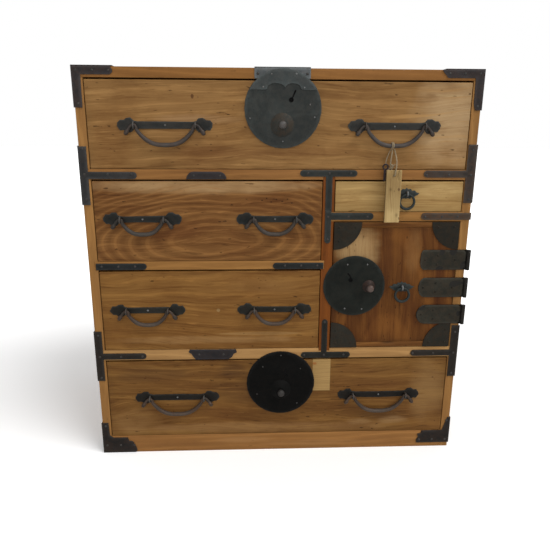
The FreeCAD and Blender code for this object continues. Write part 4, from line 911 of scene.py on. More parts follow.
def swept(line: np.ndarray, radii: np.ndarray, sides: int = 14) -> Shell:
    """A rod along a line, with a radius at each point and rounded ends.

    The section's first direction is carried from point to point by taking away its part
    along the new tangent, so it doesn't twist. Two smaller sections past each end lie on
    a sphere of the end's radius: at a share t of it, they are sqrt(1 - t * t) as wide.

    Args:
        line: n rows of points.
        radii: n radii.
        sides: points round the section.
    """
    line, radii = np.asarray(line, float), np.asarray(radii, float)
    tangent = np.gradient(line, axis=0)
    tangent /= np.linalg.norm(tangent, axis=1, keepdims=True)
    share = np.array([0.5, 0.87])
    narrow = np.sqrt(np.maximum(1 - share * share, 0.02))
    before = line[0] - tangent[0] * radii[0] * share[::-1, None]
    behind = line[-1] + tangent[-1] * radii[-1] * share[:, None]
    centres = np.vstack([before, line, behind])
    sizes = np.concatenate([radii[0] * narrow[::-1], radii, radii[-1] * narrow])
    tangents = np.vstack([tangent[:1], tangent[:1], tangent, tangent[-1:], tangent[-1:]])
    side = np.cross(tangent[0], [0.0, 1.0, 0.0])
    if np.linalg.norm(side) < 1e-3:
        side = np.cross(tangent[0], [1.0, 0.0, 0.0])
    angle = np.arange(sides) * 2 * np.pi / sides
    rows = []
    for centre, size, ahead in zip(centres, sizes, tangents):
        side = side - ahead * float(np.dot(side, ahead))
        side = side / np.linalg.norm(side)
        round_it = np.cos(angle)[:, None] * side + np.sin(angle)[:, None] * np.cross(ahead, side)
        rows.append(centre + size * round_it)
    last = (len(rows) - 1) * sides
    faces = [tuple(range(sides))[::-1], *quads(len(rows), sides), tuple(range(last, last + sides))]
    return Shell(np.vstack(rows), faces)


def looped(centre: Point, radius: float, wire: float, axis: str = "X", turns: int = 36, thicker: float = 0.0,
           sides: int = 12) -> Shell:
    """A closed ring of round wire: each point is a circle's point plus a point of the wire's section.

    Args:
        centre: middle of the ring.
        radius, wire: radii of the ring and of its wire.
        axis: the axis that the ring turns about.
        turns: sections round the ring.
        thicker: how much thicker the wire is at the ring's foot, as a share.
        sides: points round the section.
    """
    angle = np.arange(turns) * 2 * np.pi / turns
    first, second = {"X": (1, 2), "Y": (0, 2), "Z": (0, 1)}[axis]
    third = 3 - first - second
    section = np.arange(sides) * 2 * np.pi / sides
    size = wire * (1 + thicker * (1 - np.sin(angle)) / 2)
    points = np.zeros((turns, sides, 3))
    reach = radius + size[:, None] * np.cos(section)[None, :]
    points[:, :, first] = centre[first] + reach * np.cos(angle)[:, None]
    points[:, :, second] = centre[second] + reach * np.sin(angle)[:, None]
    points[:, :, third] = centre[third] + size[:, None] * np.sin(section)[None, :]
    return Shell(points.reshape(-1, 3), quads(turns, sides, closed=True))


def arc(u: float, v: float, radius: float, start: float, end: float, count: int = 10) -> Line:
    """Points of a circle's arc, by angle in degrees."""
    angles = np.radians(np.linspace(start, end, count))
    return [(u + radius * math.cos(a), v + radius * math.sin(a)) for a in angles]


def smooth_line(knots: np.ndarray, count: int) -> np.ndarray:
    """Evenly spaced points on the Catmull-Rom curve through the knots.

    Between two knots the curve is the cubic whose slope at each knot is half the step from
    the knot before it to the knot after it.
    """
    padded = np.vstack([2 * knots[0] - knots[1], knots, 2 * knots[-1] - knots[-2]])
    fine = []
    for i in range(1, len(padded) - 2):
        p0, p1, p2, p3 = padded[i - 1:i + 3]
        t = np.linspace(0, 1, 24, endpoint=False)[:, None]
        fine.append(0.5 * (2 * p1 + (p2 - p0) * t + (2 * p0 - 5 * p1 + 4 * p2 - p3) * t ** 2
                           + (3 * p1 - p0 - 3 * p2 + p3) * t ** 3))
    dense = np.vstack([*fine, knots[-1][None, :]])
    reach = np.concatenate([[0], np.cumsum(np.linalg.norm(np.diff(dense, axis=0), axis=1))])
    wanted = np.linspace(0, reach[-1], count)
    return np.column_stack([np.interp(wanted, reach, dense[:, axis]) for axis in range(dense.shape[1])])


def nail_heads(places: Line, plane: float, radius: float = 1.7, seed: int = 3, rise: float = 0.75) -> Shell:
    """Hand-made nail heads on a front face: low domes, no two quite alike.

    Args:
        places: the nails' places across and up.
        plane: the face that they are driven into.
        radius, rise: middle radius and height of a head.
        seed: number of their differences.
    """
    rng = np.random.default_rng(seed)
    heads = []
    for u, v in places:
        size = radius * rng.uniform(0.85, 1.15)
        top = rise * rng.uniform(0.8, 1.2)
        profile = [(size, 0.0), (size, top * 0.3), (size * 0.82, top * 0.72), (size * 0.45, top * 0.95),
                   (0.0, top)]
        dome = lathe(profile, 12)
        dome.points[:, 0] *= rng.uniform(0.9, 1.1)
        heads.append(on_front(dome, plane).moved(u, 0.0, v).painted("wear", 0.8))
    return joined(heads)


def in_mm(box: tuple[Point, Point]) -> tuple[Point, Point]:
    """The low and high corner of a CAD node's box, turned from metres into millimetres."""
    low, high = (tuple(v / MM for v in corner) for corner in box)
    return low, high


@dataclass
class Looks:
    """Every finish in the scene, made once, by name."""

    woods: dict[str, Material]
    irons: dict[str, Material]
    twine: Material


def make_looks() -> Looks:
    """Builds all materials."""
    effects = Effects()
    woods = {name: wood(f"wood_{name}", tone, effects) for name, tone in WOODS.items()}
    irons = {name: iron(f"iron_{name}", IronTone(*given, shift=IRON_SHIFT * number), effects)
             for number, (name, given) in enumerate(IRONS.items())}
    return Looks(woods, irons, twine_fibre("fibre_twine", (0.42, 0.33, 0.19), (0.17, 0.12, 0.06)))


@dataclass
class Shop:
    """Makes objects from surfaces and hangs them on the frame.

    Args:
        looks: the finishes.
        nodes: the CAD solids by name.
    """

    looks: Looks
    nodes: dict[str, bpy.types.Object]

    def made(self, name: str, shell: Shell, body: str, material: Material, slot: str,
             stands_for: tuple[str, ...] = (), crease: float = 40.0) -> bpy.types.Object:
        """Turns a surface in millimetres into a piece in metres.

        Args:
            name: the piece's name.
            shell: its surface.
            body: the body that it rides on.
            material: its finish.
            slot: the record's material slot that the finish belongs to; not used.
            stands_for: CAD nodes that it replaces.
            crease: angle in degrees over which an edge stays sharp.

        Returns:
            The object.
        """
        mesh = bpy.data.meshes.new(name)
        mesh.from_pydata(shell.points * MM, [], shell.faces)
        for label, values in shell.marks.items():
            attribute = mesh.attributes.new(label, "FLOAT", "POINT")
            attribute.data.foreach_set("value", values.astype(np.float32))
        work = bmesh.new()
        work.from_mesh(mesh)
        bmesh.ops.recalc_face_normals(work, faces=work.faces)
        work.to_mesh(mesh)
        work.free()
        mesh.update()
        mesh.shade_smooth()
        mesh.set_sharp_from_angle(angle=math.radians(crease))
        return self.placed(name, mesh, body, material, slot, stands_for)

    def forged(self, name: str, shell: Shell, body: str, tone: str, *stands_for: str, slot: str = "iron",
               crease: float = 60.0) -> bpy.types.Object:
        """Makes a piece of iron, whose finish is given by name."""
        return self.made(name, shell, body, self.looks.irons[tone], slot, stands_for, crease)

    def placed(self, name: str, data: bpy.types.ID, body: str, material: Material, slot: str,
               stands_for: tuple[str, ...] = ()) -> bpy.types.Object:
        """Links a mesh or curve as a piece of the model, and reports it."""
        thing = bpy.data.objects.new(name, data)
        bpy.context.scene.collection.objects.link(thing)
        data.materials.append(material)
        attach(thing, body)
        if stands_for:
            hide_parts(*stands_for)
        LOG.info("%s rides on %s", name, body)
        return thing

    def eased(self, node: str, name: str, body: str, material: Material, slot: str,
              edge: float = 0.45, wear: float = 1.0) -> bpy.types.Object:
        """Makes a copy of a CAD solid with its edges eased, which stands for the solid.

        Flat neighbours are merged, every sharp edge is bevelled in two steps, and the middle
        row of each bevel gets the mark "wear".

        Args:
            node: the CAD solid's name.
            name: the piece's name.
            body, material, slot: as for any piece; the slot is not used.
            edge: width of the bevel in millimetres.
            wear: strength of the mark.

        Returns:
            The object.
        """
        sharp_angle = math.radians(30)
        work = bmesh.new()
        work.from_mesh(self.nodes[node].data)
        bmesh.ops.remove_doubles(work, verts=work.verts, dist=1e-6)
        bmesh.ops.dissolve_limit(work, angle_limit=math.radians(1.0), verts=work.verts, edges=work.edges)
        sharp = [e for e in work.edges if len(e.link_faces) == 2 and e.calc_face_angle(0.0) > sharp_angle]
        flat = set(work.faces)
        bmesh.ops.bevel(work, geom=sharp, offset=edge * MM, offset_type="OFFSET", segments=2, profile=0.6,
                        affect="EDGES", clamp_overlap=True)
        layer = work.verts.layers.float.new("wear")
        kept = {face for face in work.faces if face in flat and face.is_valid}
        for vertex in work.verts:
            vertex[layer] = 0.0 if any(face in kept for face in vertex.link_faces) else wear
        mesh = bpy.data.meshes.new(name)
        work.to_mesh(mesh)
        work.free()
        mesh.shade_smooth()
        mesh.set_sharp_from_angle(angle=sharp_angle)
        return self.placed(name, mesh, body, material, slot, (node,))


@dataclass(frozen=True)
class BailSize:
    """Sizes of one kind of handle.

    Args:
        eye: half the distance between the eyes.
        drop: how far the bow hangs below them.
        half: half the plate's length.
        band, lobe: half the height of the plate's middle and of its lobes.
    """

    eye: float
    drop: float
    half: float
    band: float
    lobe: float


LARGE = BailSize(45.0, 28.2, 70.0, 5.2, 10.6)
SMALL = BailSize(33.0, 22.6, 60.0, 4.9, 10.4)


@dataclass
class Handles:
    """The bail handles: a lobed plate, two wire eyes, a nail and a swinging bow.

    Args:
        shop: makes the pieces.
        eye_radius, eye_wire: radii of an eye's ring and of its wire.
        nail_radius: radius of the middle nail.
        curve: power of the bow's curve; higher is squarer.
        radii: the rod's radii, from the middle of the bow to its end.
        shares, backs: where they lie, as shares of half the bow and in millimetres from its end.
    """

    shop: Shop
    eye_radius: float = 4.6
    eye_wire: float = 1.2
    nail_radius: float = 1.5
    curve: float = 2.75
    radii: tuple[float, ...] = (3.35, 3.2, 2.8, 2.3, 1.9, 1.95, 3.5, 3.1)
    shares: tuple[float, ...] = (0.0, 0.35, 0.62, 0.72)
    backs: tuple[float, ...] = (12.0, 6.0, 3.0, 0.0)

    def plate(self, size: BailSize, seed: int) -> Shell:
        """A plate with a narrow band and two clipped lobes, each corner off by a little."""
        half, band, lobe = size.half, size.band, size.lobe
        quarter = [(0.0, band), (half - 30.0, band * 1.02), (half - 24.0, band * 1.2),
                   (half - 20.5, lobe * 0.98), (half - 14.0, lobe * 1.0), (half - 9.5, lobe * 0.72),
                   (half - 4.0, lobe * 0.70), (half - 0.4, lobe * 0.26), (half, lobe * 0.05)]
        right = quarter + [(u, -v * 0.98) for u, v in quarter[::-1]]
        left = [(-u, v) for u, v in right[::-1]]
        rng = np.random.default_rng(seed)
        line = [(u + rng.normal(0, 0.35), v + rng.normal(0, 0.3)) for u, v in right[:-1] + left[:-1]]
        return sheet_iron(line, edge=0.45, step=2.6, uneven=0.2, seed=seed)

    def bow(self, size: BailSize) -> Shell:
        """The bow in the plane of the eyes: bulb, short outer leg, peak in the eye, then the long curve.

        At a share t of the way out, the curve hangs by the drop times 1 less t to its power.
        """
        reach = np.array([0.90, 0.80, 0.68, 0.54, 0.38, 0.20, 0.0])
        curve = [(size.eye * t, -size.drop * (1.0 - t ** self.curve)) for t in reach]
        right = [(size.eye + 11.8, -11.6), (size.eye + 9.0, -7.6), (size.eye + 5.6, -2.6),
                 (size.eye + 1.4, 0.25), (size.eye - 2.0, -0.5), *curve]
        line = smooth_line(np.array(right + [(-u, v) for u, v in right[-2::-1]]), 88)
        length = np.linalg.norm(np.diff(line, axis=0), axis=1).sum() / 2
        places = [*self.shares, *(1 - back / length for back in self.backs)]
        radii = np.interp(np.abs(np.linspace(-1.0, 1.0, len(line))), places, self.radii)
        return swept(np.column_stack([line[:, 0], np.zeros(len(line)), line[:, 1]]), radii)

    def pair(self, drawer: str, row: str, tones: tuple[str, str], centres: Pair, height: float,
             size: BailSize, seed: int) -> None:
        """Builds both handles of one drawer.

        Args:
            drawer: the drawer's name.
            row: the first word of its bails' names.
            tones: irons of the plates and of the bows.
            centres, height: the handles' places across, and their height.
            size: sizes of the handles.
            seed: number of their differences.
        """
        plates, eyes, nails = [], [], []
        for word, x in zip(("left", "right"), centres):
            plates.append(on_front(self.plate(size, seed + int(x) + 300), FACE).moved(x, 0.0, height))
            for side in (-1.0, 1.0):
                eye = (x + side * size.eye, EYE_Y, height)
                eyes.append(looped(eye, self.eye_radius, self.eye_wire, turns=24).painted("wear", 0.35))
            nails.append(nail_heads([(x, height)], FACE - IRON, self.nail_radius, seed))
            bow = self.bow(size).moved(x, EYE_Y, height)
            worn = np.exp(-np.abs(bow.points[:, 2] - (height - size.drop)) / 6.0) * 0.5
            name = f"{drawer}_{word}_bail"
            self.shop.forged(f"{name}_bow", bow.painted("wear", worn), f"{row}_{word}_bail", tones[1], name,
                             crease=50.0)
        self.shop.forged(f"{drawer}_bail_plates", joined(plates), drawer, tones[0], f"{drawer}_handle_plates",
                         slot="black_iron", crease=30.0)
        self.shop.forged(f"{drawer}_eyes", joined(eyes), drawer, "eye", crease=50.0)
        self.shop.forged(f"{drawer}_plate_nails", joined(nails), drawer, "nail", crease=50.0)

    def build(self) -> None:
        """Makes the handles of four drawers."""
        for drawer, row, tones, across, height, size, seed in (
                ("top_drawer", "top", ("plate_top", "bow_top"), (-171.0, 171.0), 547.0, LARGE, 60),
                ("upper_left_drawer", "upper", ("plate_upper", "bow_upper"), (-212.0, -8.0), 407.0, SMALL,
                 61),
                ("lower_left_drawer", "lower", ("plate_lower", "bow_low"), (-212.0, -8.0), 259.0, SMALL, 62),
                ("bottom_drawer", "bottom", ("plate_bottom", "bow_low"), (-171.0, 171.0), 104.0, LARGE, 63)):
            self.pair(drawer, row, tones, across, height, size, seed)


@dataclass(frozen=True)
class Lock:
    """One round lock.

    Args:
        prefix, body: the first word of its names, and the body that it rides on.
        centre, radius: middle and radius of its plate.
        knob, key: middles of its button and of its keyhole.
        slot_line: the keyhole's slot, from its middle.
        tones: irons of the plate, the cone and the nails.
        nails: their places, from the plate's middle.
        seed: number of its unevenness.
        cone: radius of the cone.
        ceiling: height over the middle at which the plate is cut off.
    """

    prefix: str
    body: str
    centre: Pair
    radius: float
    knob: Pair
    key: Pair
    slot_line: Line
    tones: tuple[str, str, str]
    nails: Line
    seed: int
    cone: float = 18.0
    ceiling: float = 99.0


LOCK_MIDDLE = 3.0       # both large locks stand a little right of the middle
TOP_LOCK = Lock("top", "top_drawer", (LOCK_MIDDLE, 571.5), 57.0, (2.0, 548.5), (15.0, 584.0),
                [(1.5, 2.5), (3.4, 7.0), (6.0, 12.5)], ("top_disc", "cone", "nail"),
                [(-49, -14), (40, 6), (47, -12), (0, -47)], 71, ceiling=38.0)
BOTTOM_LOCK = Lock("bottom", "bottom_drawer", (LOCK_MIDDLE, 128.0), 57.0, (3.0, 116.5), (12.0, 142.0),
                   [(-1.5, 2.5), (-2.4, 6.0), (-1.0, 9.5)], ("low_disc", "low_disc", "bottom_knob"),
                   [(-30, 30), (33, 26), (-40, -20), (28, -38), (0, 50)], 72)
DOOR_LOCK = Lock("door", "door", (120.6, 297.6), 50.0, (144.0, 297.6), (114.5, 308.0),
                 [(0.5, 3.0), (-1.5, 7.0), (-4.5, 10.5)], ("door_disc", "door_cone", "nail"),
                 [(-12, 36), (20, 36), (-14, -38), (14, -39)], 73, cone=10.5)


@dataclass
class Locks:
    """The round locks: a dished plate, a cone with a push button, a keyhole with its hook, and nails.

    Args:
        shop: makes the pieces.
        thick, dish: thickness of a plate, and how far its middle stands out.
        cap_radius, cap_chord: radius of the top lock's cap, and the height of its straight edge.
        lobe_height, lobe_rise: where the cap's scallops start, and how far they rise.
        cone_top: radius of the flat at a cone's top.
        button: profile of the button, as radius and height.
        cone: profile of the cone, as share of its radius and height.
    """

    shop: Shop
    thick: float = 1.3
    dish: float = 0.9
    cap_radius: float = 56.0
    cap_chord: float = 26.5
    lobe_height: float = 29.0
    lobe_rise: float = 6.6
    cone_top: float = 3.4
    button: tuple = ((2.5, 0.0), (2.5, 6.4), (4.7, 7.2), (5.7, 9.4), (5.7, 11.8), (5.2, 13.6), (3.8, 14.8),
                     (1.9, 15.3), (0.0, 15.4))
    cone: tuple = ((1.0, 0.0), (0.93, 0.9), (0.74, 2.7), (0.52, 4.6), (0.36, 5.7), (0.30, 6.0))

    def disc(self, lock: Lock) -> Shell:
        """The plate, slightly dished and never quite round, cut off at the ceiling."""
        outline = [(u * (1 + 0.004 * math.sin(3 * k)), min(v, lock.ceiling))
                   for k, (u, v) in enumerate(arc(0, 0, lock.radius, 0, 354, 60))]
        plate = sheet_iron(outline, self.thick, 0.5, 5.0, 0.22, self.dish, lock.seed)
        return on_front(plate, FACE).moved(lock.centre[0], 0.0, lock.centre[1])

    def cap(self, lock: Lock) -> Shell:
        """The crescent over the top of a lock, with two scallops in its lower edge."""
        chord, up, rise = self.cap_chord, self.lobe_height, self.lobe_rise
        start = math.degrees(math.asin(chord / self.cap_radius))
        rim = arc(0, 0, self.cap_radius, start, 180 - start, 34)
        lobes = [(middle + half * math.cos(a), up + rise * math.sin(a))
                 for middle, half, start, end in ((-10.5, 13.0, 180, 8), (14.4, 11.6, 172, 0))
                 for a in np.radians(np.linspace(start, end, 9))]
        edge = [(-27.0, chord), (-24.6, chord + 0.6), *lobes, (27.4, chord + 0.6), (30.0, chord)]
        shell = on_front(sheet_iron([*rim, *edge], 1.35, 0.4, 4.0, 0.15, 0.2, 77), FACE - 1.4)
        return shell.moved(lock.centre[0], 0.0, lock.centre[1])

    def turned(self, profile: Line, sides: int, plane: float, centre: Pair, wear: float) -> Shell:
        """A profile turned on the lathe and set on a plane of the front."""
        return on_front(lathe(profile, sides), plane).moved(centre[0], 0.0, centre[1]).painted("wear", wear)

    def keyhole(self, lock: Lock) -> Shell:
        """The slot, a flat round hole and its raised ring of wire, all in one near-black iron: the slot and
        the hole are dark pieces laid on the plate, painted shade where the keyhole opens.
        """
        x, z = lock.key
        plane = FACE - 2.05
        ring = looped((x, plane, z), 2.9, 0.62, "Y", 28)
        slit = swept(smooth_line(np.array([(x + u, plane, z + v) for u, v in lock.slot_line]), 14),
                     np.linspace(0.8, 1.25, 14), 8)
        slit.points[:, 1] = plane + (slit.points[:, 1] - plane) * 0.35
        hole = on_front(lathe([(2.5, 0.0), (2.4, 0.12), (0.0, 0.15)], 20), FACE - 2.0).moved(x, 0.0, z)
        return joined([ring, slit, hole])

    def one(self, lock: Lock) -> None:
        """Builds one lock."""
        prefix, body, (x, z) = lock.prefix, lock.body, lock.centre
        disc_tone, cone_tone, nail_tone = lock.tones
        cone = [*((lock.cone * share, height) for share, height in self.cone), (self.cone_top, 6.1)]
        forged = self.shop.forged
        forged(f"{prefix}_lock_disc", self.disc(lock), body, disc_tone, f"{prefix}_lock_plate",
               slot="black_iron",
               crease=35.0)
        forged(f"{prefix}_lock_cone", self.turned(cone, 36, FACE - 1.7, lock.knob, 0.1), body, cone_tone,
               slot="black_iron")
        forged(f"{prefix}_lock_button", self.turned(self.button, 28, FACE - IRON - 4.4, lock.knob, 0.55),
               f"{prefix}_knob", f"{prefix}_knob", f"{prefix}_lock_knob")
        forged(f"{prefix}_keyhole", self.keyhole(lock), body, "slot", slot="black_iron")
        heads = nail_heads([(x + u, z + v) for u, v in lock.nails], FACE - 1.75, 1.25, lock.seed)
        forged(f"{prefix}_lock_nails", heads, body, nail_tone)

    def build(self) -> None:
        """Makes the three locks and the top one's cap."""
        self.one(TOP_LOCK)
        self.shop.forged("top_lock_cap", self.cap(TOP_LOCK), "top_drawer", "cap", slot="black_iron",
                         crease=35.0)
        heads = nail_heads([(-26.5, 601.5), (34.0, 601.0), (-14.0, 619.5), (22.0, 620.0)], FACE - 2.7, 1.3, 5)
        self.shop.forged("top_cap_nails", heads, "top_drawer", "nail")
        self.one(BOTTOM_LOCK)
        self.one(DOOR_LOCK)


@dataclass
class Boards:
    """The wooden pieces.

    Args:
        shop: makes the pieces.
        back_joint: gap between two back boards.
        batten, batten_joint: height of a door batten, and the joint under it.
        worn_place, worn_reach: middle and half size of the lower batten's worn place.
        worn_depth: how deep it is worn.
    """

    shop: Shop
    back_joint: float = 0.3
    batten: float = 9.0
    batten_joint: float = 0.25
    worn_place: Pair = (181.0, 199.5)
    worn_reach: Pair = (11.0, 2.6)
    worn_depth: float = 2.2

    def case(self) -> None:
        """Case boards, with their joints, as eased copies of the solids."""
        woods = self.shop.looks.woods
        for node, look, slot in (
                ("top_board", "top", "case_wood"), ("left_side", "sides", "case_wood"),
                ("right_side", "sides", "case_wood"), ("base_rail", "case", "case_wood"),
                ("upper_shelf", "case", "case_wood"), ("lower_shelf", "low_rail", "case_wood"),
                ("mid_rails", "rails", "case_wood"), ("divider", "divider", "case_wood"),
                ("bottom_board", "inner", "inner_wood")):
            self.shop.eased(node, f"{node}_wood", "case", woods[look], slot, 0.7)
        low, high = in_mm(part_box("back_boards"))
        wide, half_joint = (high[0] - low[0]) / 4, self.back_joint / 2
        boards = [slab((low[0] + wide * i + half_joint, low[1], low[2]),
                       (low[0] + wide * (i + 1) - half_joint, high[1], high[2]), 0.8, 14.0, 0.2, 61 + i)
                  for i in range(4)]
        self.shop.made("back_boards_wood", joined(boards), "case", woods["back"], "inner_wood",
                       ("back_boards",),
                       50.0)

    def near_edge(self, x: np.ndarray, z: np.ndarray, low: Point, high: Point,
                  inset: float = 0.0) -> np.ndarray:
        """How far each point is from the nearest edge of a front; the inset is off top and bottom."""
        return np.minimum(np.minimum(x - low[0], high[0] - x), np.minimum(z - low[2], high[2] - z) - inset)

    def round_lock(self, lock: Lock, x: np.ndarray, z: np.ndarray, fall: float) -> np.ndarray:
        """Darkening round a lock, grime with painted shade under its plate's rim: 1 at the rim, falling off
        with the distance from it.
        """
        gap = np.maximum(np.hypot(x - lock.centre[0], z - lock.centre[1]) - lock.radius, 0)
        return np.exp(-gap / fall)

    def front(self, drawer: str, seed: int) -> None:
        """A drawer front: a slab darkened along its edges and round its lock, grime with painted shade along
        the gaps and under the lock's rim, and with paler, rubbed rims.
        """
        low, high = in_mm(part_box(f"{drawer}_front"))
        board = slab(low, high, 1.1, 6.0, 0.3, seed)
        x, z = board.points[:, 0], board.points[:, 2]
        near = self.near_edge(x, z, low, high)
        # darker along the edges: grime with painted shade along the gaps round the front
        grime = np.exp(-near / 5.0) * (0.36 + 0.3 * ripple(x, z, seed + 5, 45.0))
        face = 1 - np.clip((board.points[:, 1] - low[1]) / 6.0, 0, 1)
        for lock in (TOP_LOCK, BOTTOM_LOCK):
            if lock.body == drawer:
                grime = grime + self.round_lock(lock, x, z, 9.0) * 0.28
        rim = np.exp(-near / 2.0) * face * np.clip(0.85 + 0.9 * ripple(x, z, seed + 9, 30.0), 0, 1)
        board = board.painted("grime", np.clip(grime * face * (1 - rim), 0, 1)).painted("wear", rim)
        slot = "pale_wood" if drawer == "small_drawer" else "front_wood"
        look = self.shop.looks.woods[drawer.replace("_drawer", "_front")]
        self.shop.made(f"{drawer}_board", board, drawer, look, slot, (f"{drawer}_front",), 50.0)

    def door(self) -> None:
        """The door: an upright panel between two narrow battens, the lower one worn away in one place."""
        low, high = in_mm(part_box("door_panel"))
        batten, joint, woods = self.batten, self.batten_joint, self.shop.looks.woods
        panel = slab((low[0], low[1] + 0.15, low[2] + batten), (high[0], high[1], high[2] - batten), 0.7, 6.0,
                     0.3, 21)
        x, z = panel.points[:, 0], panel.points[:, 2]
        near = np.maximum(self.near_edge(x, z, low, high, batten), 0)
        # darker along the edges and round the lock: grime with painted shade along the gaps and under the
        # lock's rim
        grime = np.exp(-near / 5.0) * (0.5 + 0.3 * ripple(x, z, 8, 40.0))
        grime = grime + self.round_lock(DOOR_LOCK, x, z, 8.0) * 0.3
        panel = panel.painted("grime", np.clip(grime, 0, 1))
        self.shop.made("door_board", panel, "door", woods["door"], "door_wood", ("door_panel",), 50.0)
        strips = []
        heights = ((low[2], low[2] + batten - joint), (high[2] - batten + joint, high[2]))
        for number, (bottom, top) in enumerate(heights):
            strip = slab((low[0], low[1], bottom), (high[0], high[1], top), 0.8, 3.0, 0.2, 31 + number)
            u, y, v = strip.points.T
            offsets = ((u - self.worn_place[0]) / self.worn_reach[0],
                       (v - self.worn_place[1]) / self.worn_reach[1])
            worn = np.exp(-offsets[0] ** 2 - offsets[1] ** 2) * (number == 0)
            strip.points[:, 1] = y + np.where(y < low[1] + 2.0, worn * self.worn_depth, 0.0)
            # the worn dip is painted darker, most where it is worn deepest
            strips.append(strip.painted("grime", np.clip(worn * 1.2, 0, 1)))
        self.shop.made("door_battens", joined(strips), "door", woods["battens"], "door_wood", (), 50.0)

    def build(self) -> None:
        """Makes the case, the fronts, the door and the drawers' boxes."""
        self.case()
        for number, drawer in enumerate(DRAWERS):
            self.front(drawer, 40 + number)
        self.door()
        for drawer in DRAWERS:
            self.shop.eased(f"{drawer}_box", f"{drawer}_box_wood", drawer, self.shop.looks.woods["inner"],
                            "inner_wood", 0.5)


@dataclass
class Studio:
    """Camera, floor, light and world.

    Args:
        focal, picture: the lens and the picture's width, in pixels.
        eye: where the camera stands, in metres.
        forward, roll: where it looks, and its turn about that line in degrees.
        reach: half the floor's size in metres.
        suns: name, power, spread in degrees and direction of each lamp.
    """

    focal: float = 546.8
    picture: float = 550.0
    sensor: float = 36.0
    eye: Point = (-0.0461, -1.0179, 0.5494)
    forward: Point = (0.04417, 0.96298, -0.26594)
    roll: float = 0.35
    reach: float = 12.0
    suns: tuple = (("key", 1.9, 36.0, (-0.50, 0.36, -0.79)), ("fill", 0.75, 50.0, (-0.05, 0.95, -0.30)))

    def camera(self) -> None:
        """Stands the camera where the object is seen from the front, a little above and to the left."""
        data = bpy.data.cameras.new("camera")
        data.sensor_width = self.sensor
        data.lens = self.sensor * self.focal / self.picture
        data.clip_start, data.clip_end = 0.05, 50.0
        thing = bpy.data.objects.new("camera", data)
        bpy.context.scene.collection.objects.link(thing)
        turn = Vector(self.forward).normalized().to_track_quat("-Z", "Y").to_matrix()
        turn = turn @ Matrix.Rotation(math.radians(self.roll), 3, "Z")
        thing.matrix_world = Matrix.Translation(self.eye) @ turn.to_4x4()
        bpy.context.scene.camera = thing

    def ground(self) -> None:
        """A white floor that keeps a soft shadow; rays that show it see it brighter than it lights."""
        mesh = bpy.data.meshes.new("floor")
        reach = self.reach
        corners = [(-reach, -reach, 0), (reach, -reach, 0), (reach, reach, 0), (-reach, reach, 0)]
        mesh.from_pydata(corners, [], [(0, 1, 2, 3)])
        floor = bpy.data.objects.new("floor", mesh)
        bpy.context.scene.collection.objects.link(floor)
        g = Surface("floor_white")
        path = g.nodes.new("ShaderNodeLightPath")
        seen = g.plus(path.outputs["Is Camera Ray"], path.outputs["Is Glossy Ray"])
        seen = g.math("ADD", seen, path.outputs["Is Transmission Ray"], clamp=True)
        white = g.mix(seen, (0.6, 0.6, 0.6), (0.99, 0.99, 0.99))
        g.finish(white, 0.9, g.bump(g.noise(g.place, 900.0, 2.0), 0.05, 0.0002), gloss=0.1)
        glow = g.span(g.axes(g.place)[1], 0.25, 0.9, 0.13, 0.40)
        g.feed(g.shader.inputs["Emission Color"], (1.0, 1.0, 1.0))
        g.feed(g.shader.inputs["Emission Strength"], g.times(seen, glow))
        mesh.materials.append(g.material)

    def light(self) -> None:
        """A soft key from the upper right, a fill from the front, and an even world, white where seen."""
        scene = bpy.context.scene
        for name, power, spread, toward in self.suns:
            data = bpy.data.lights.new(name, "SUN")
            data.energy, data.angle = power, math.radians(spread)
            lamp = bpy.data.objects.new(name, data)
            scene.collection.objects.link(lamp)
            lamp.location = (1.3, -1.8, 2.3)
            lamp.rotation_euler = Vector(toward).to_track_quat("-Z", "Y").to_euler()
        scene.world = bpy.data.worlds.new("world")
        scene.world.use_nodes = True
        g = Graph(scene.world.node_tree)
        path = g.nodes.new("ShaderNodeLightPath")
        seen = path.outputs["Is Camera Ray"]
        for ray in ("Is Glossy Ray", "Is Transmission Ray"):
            seen = g.math("ADD", seen, path.outputs[ray], clamp=True)
        back = g.nodes["Background"]
        g.feed(back.inputs["Color"], (1.0, 1.0, 1.0))
        g.feed(back.inputs["Strength"], g.plus(g.times(seen, 0.5), 0.5))
        scene.view_settings.view_transform = "Standard"


def strap_line(x: Pair, z: Pair, round_left: bool = True,
               round_right: bool = True) -> Line:
    """Outline of a strap whose ends are half rounds or cut square."""
    middle, half = (z[0] + z[1]) / 2, (z[1] - z[0]) / 2
    right = arc(x[1] - half, middle, half, -90, 90, 9) if round_right else [(x[1], z[0]), (x[1], z[1])]
    left = arc(x[0] + half, middle, half, 90, 270, 9) if round_left else [(x[0], z[1]), (x[0], z[0])]
    return right + left


def edge_tee(side: int, leg: Pair, inner: float, strap: Pair,
             end: float) -> Line:
    """Outline of a tee whose leg runs along a case edge; x counts outwards, side -1 is the left edge."""
    half = (strap[1] - strap[0]) / 2
    tip = arc(end + half, strap[0] + half, half, 90, 270, 9)
    line = [(SIDE + IRON, leg[0]), (SIDE + IRON, leg[1]), (inner, leg[1]), (inner, strap[1]), *tip,
            (inner, strap[0]), (inner, leg[0])]
    return line if side > 0 else [(-u, v) for u, v in line[::-1]]


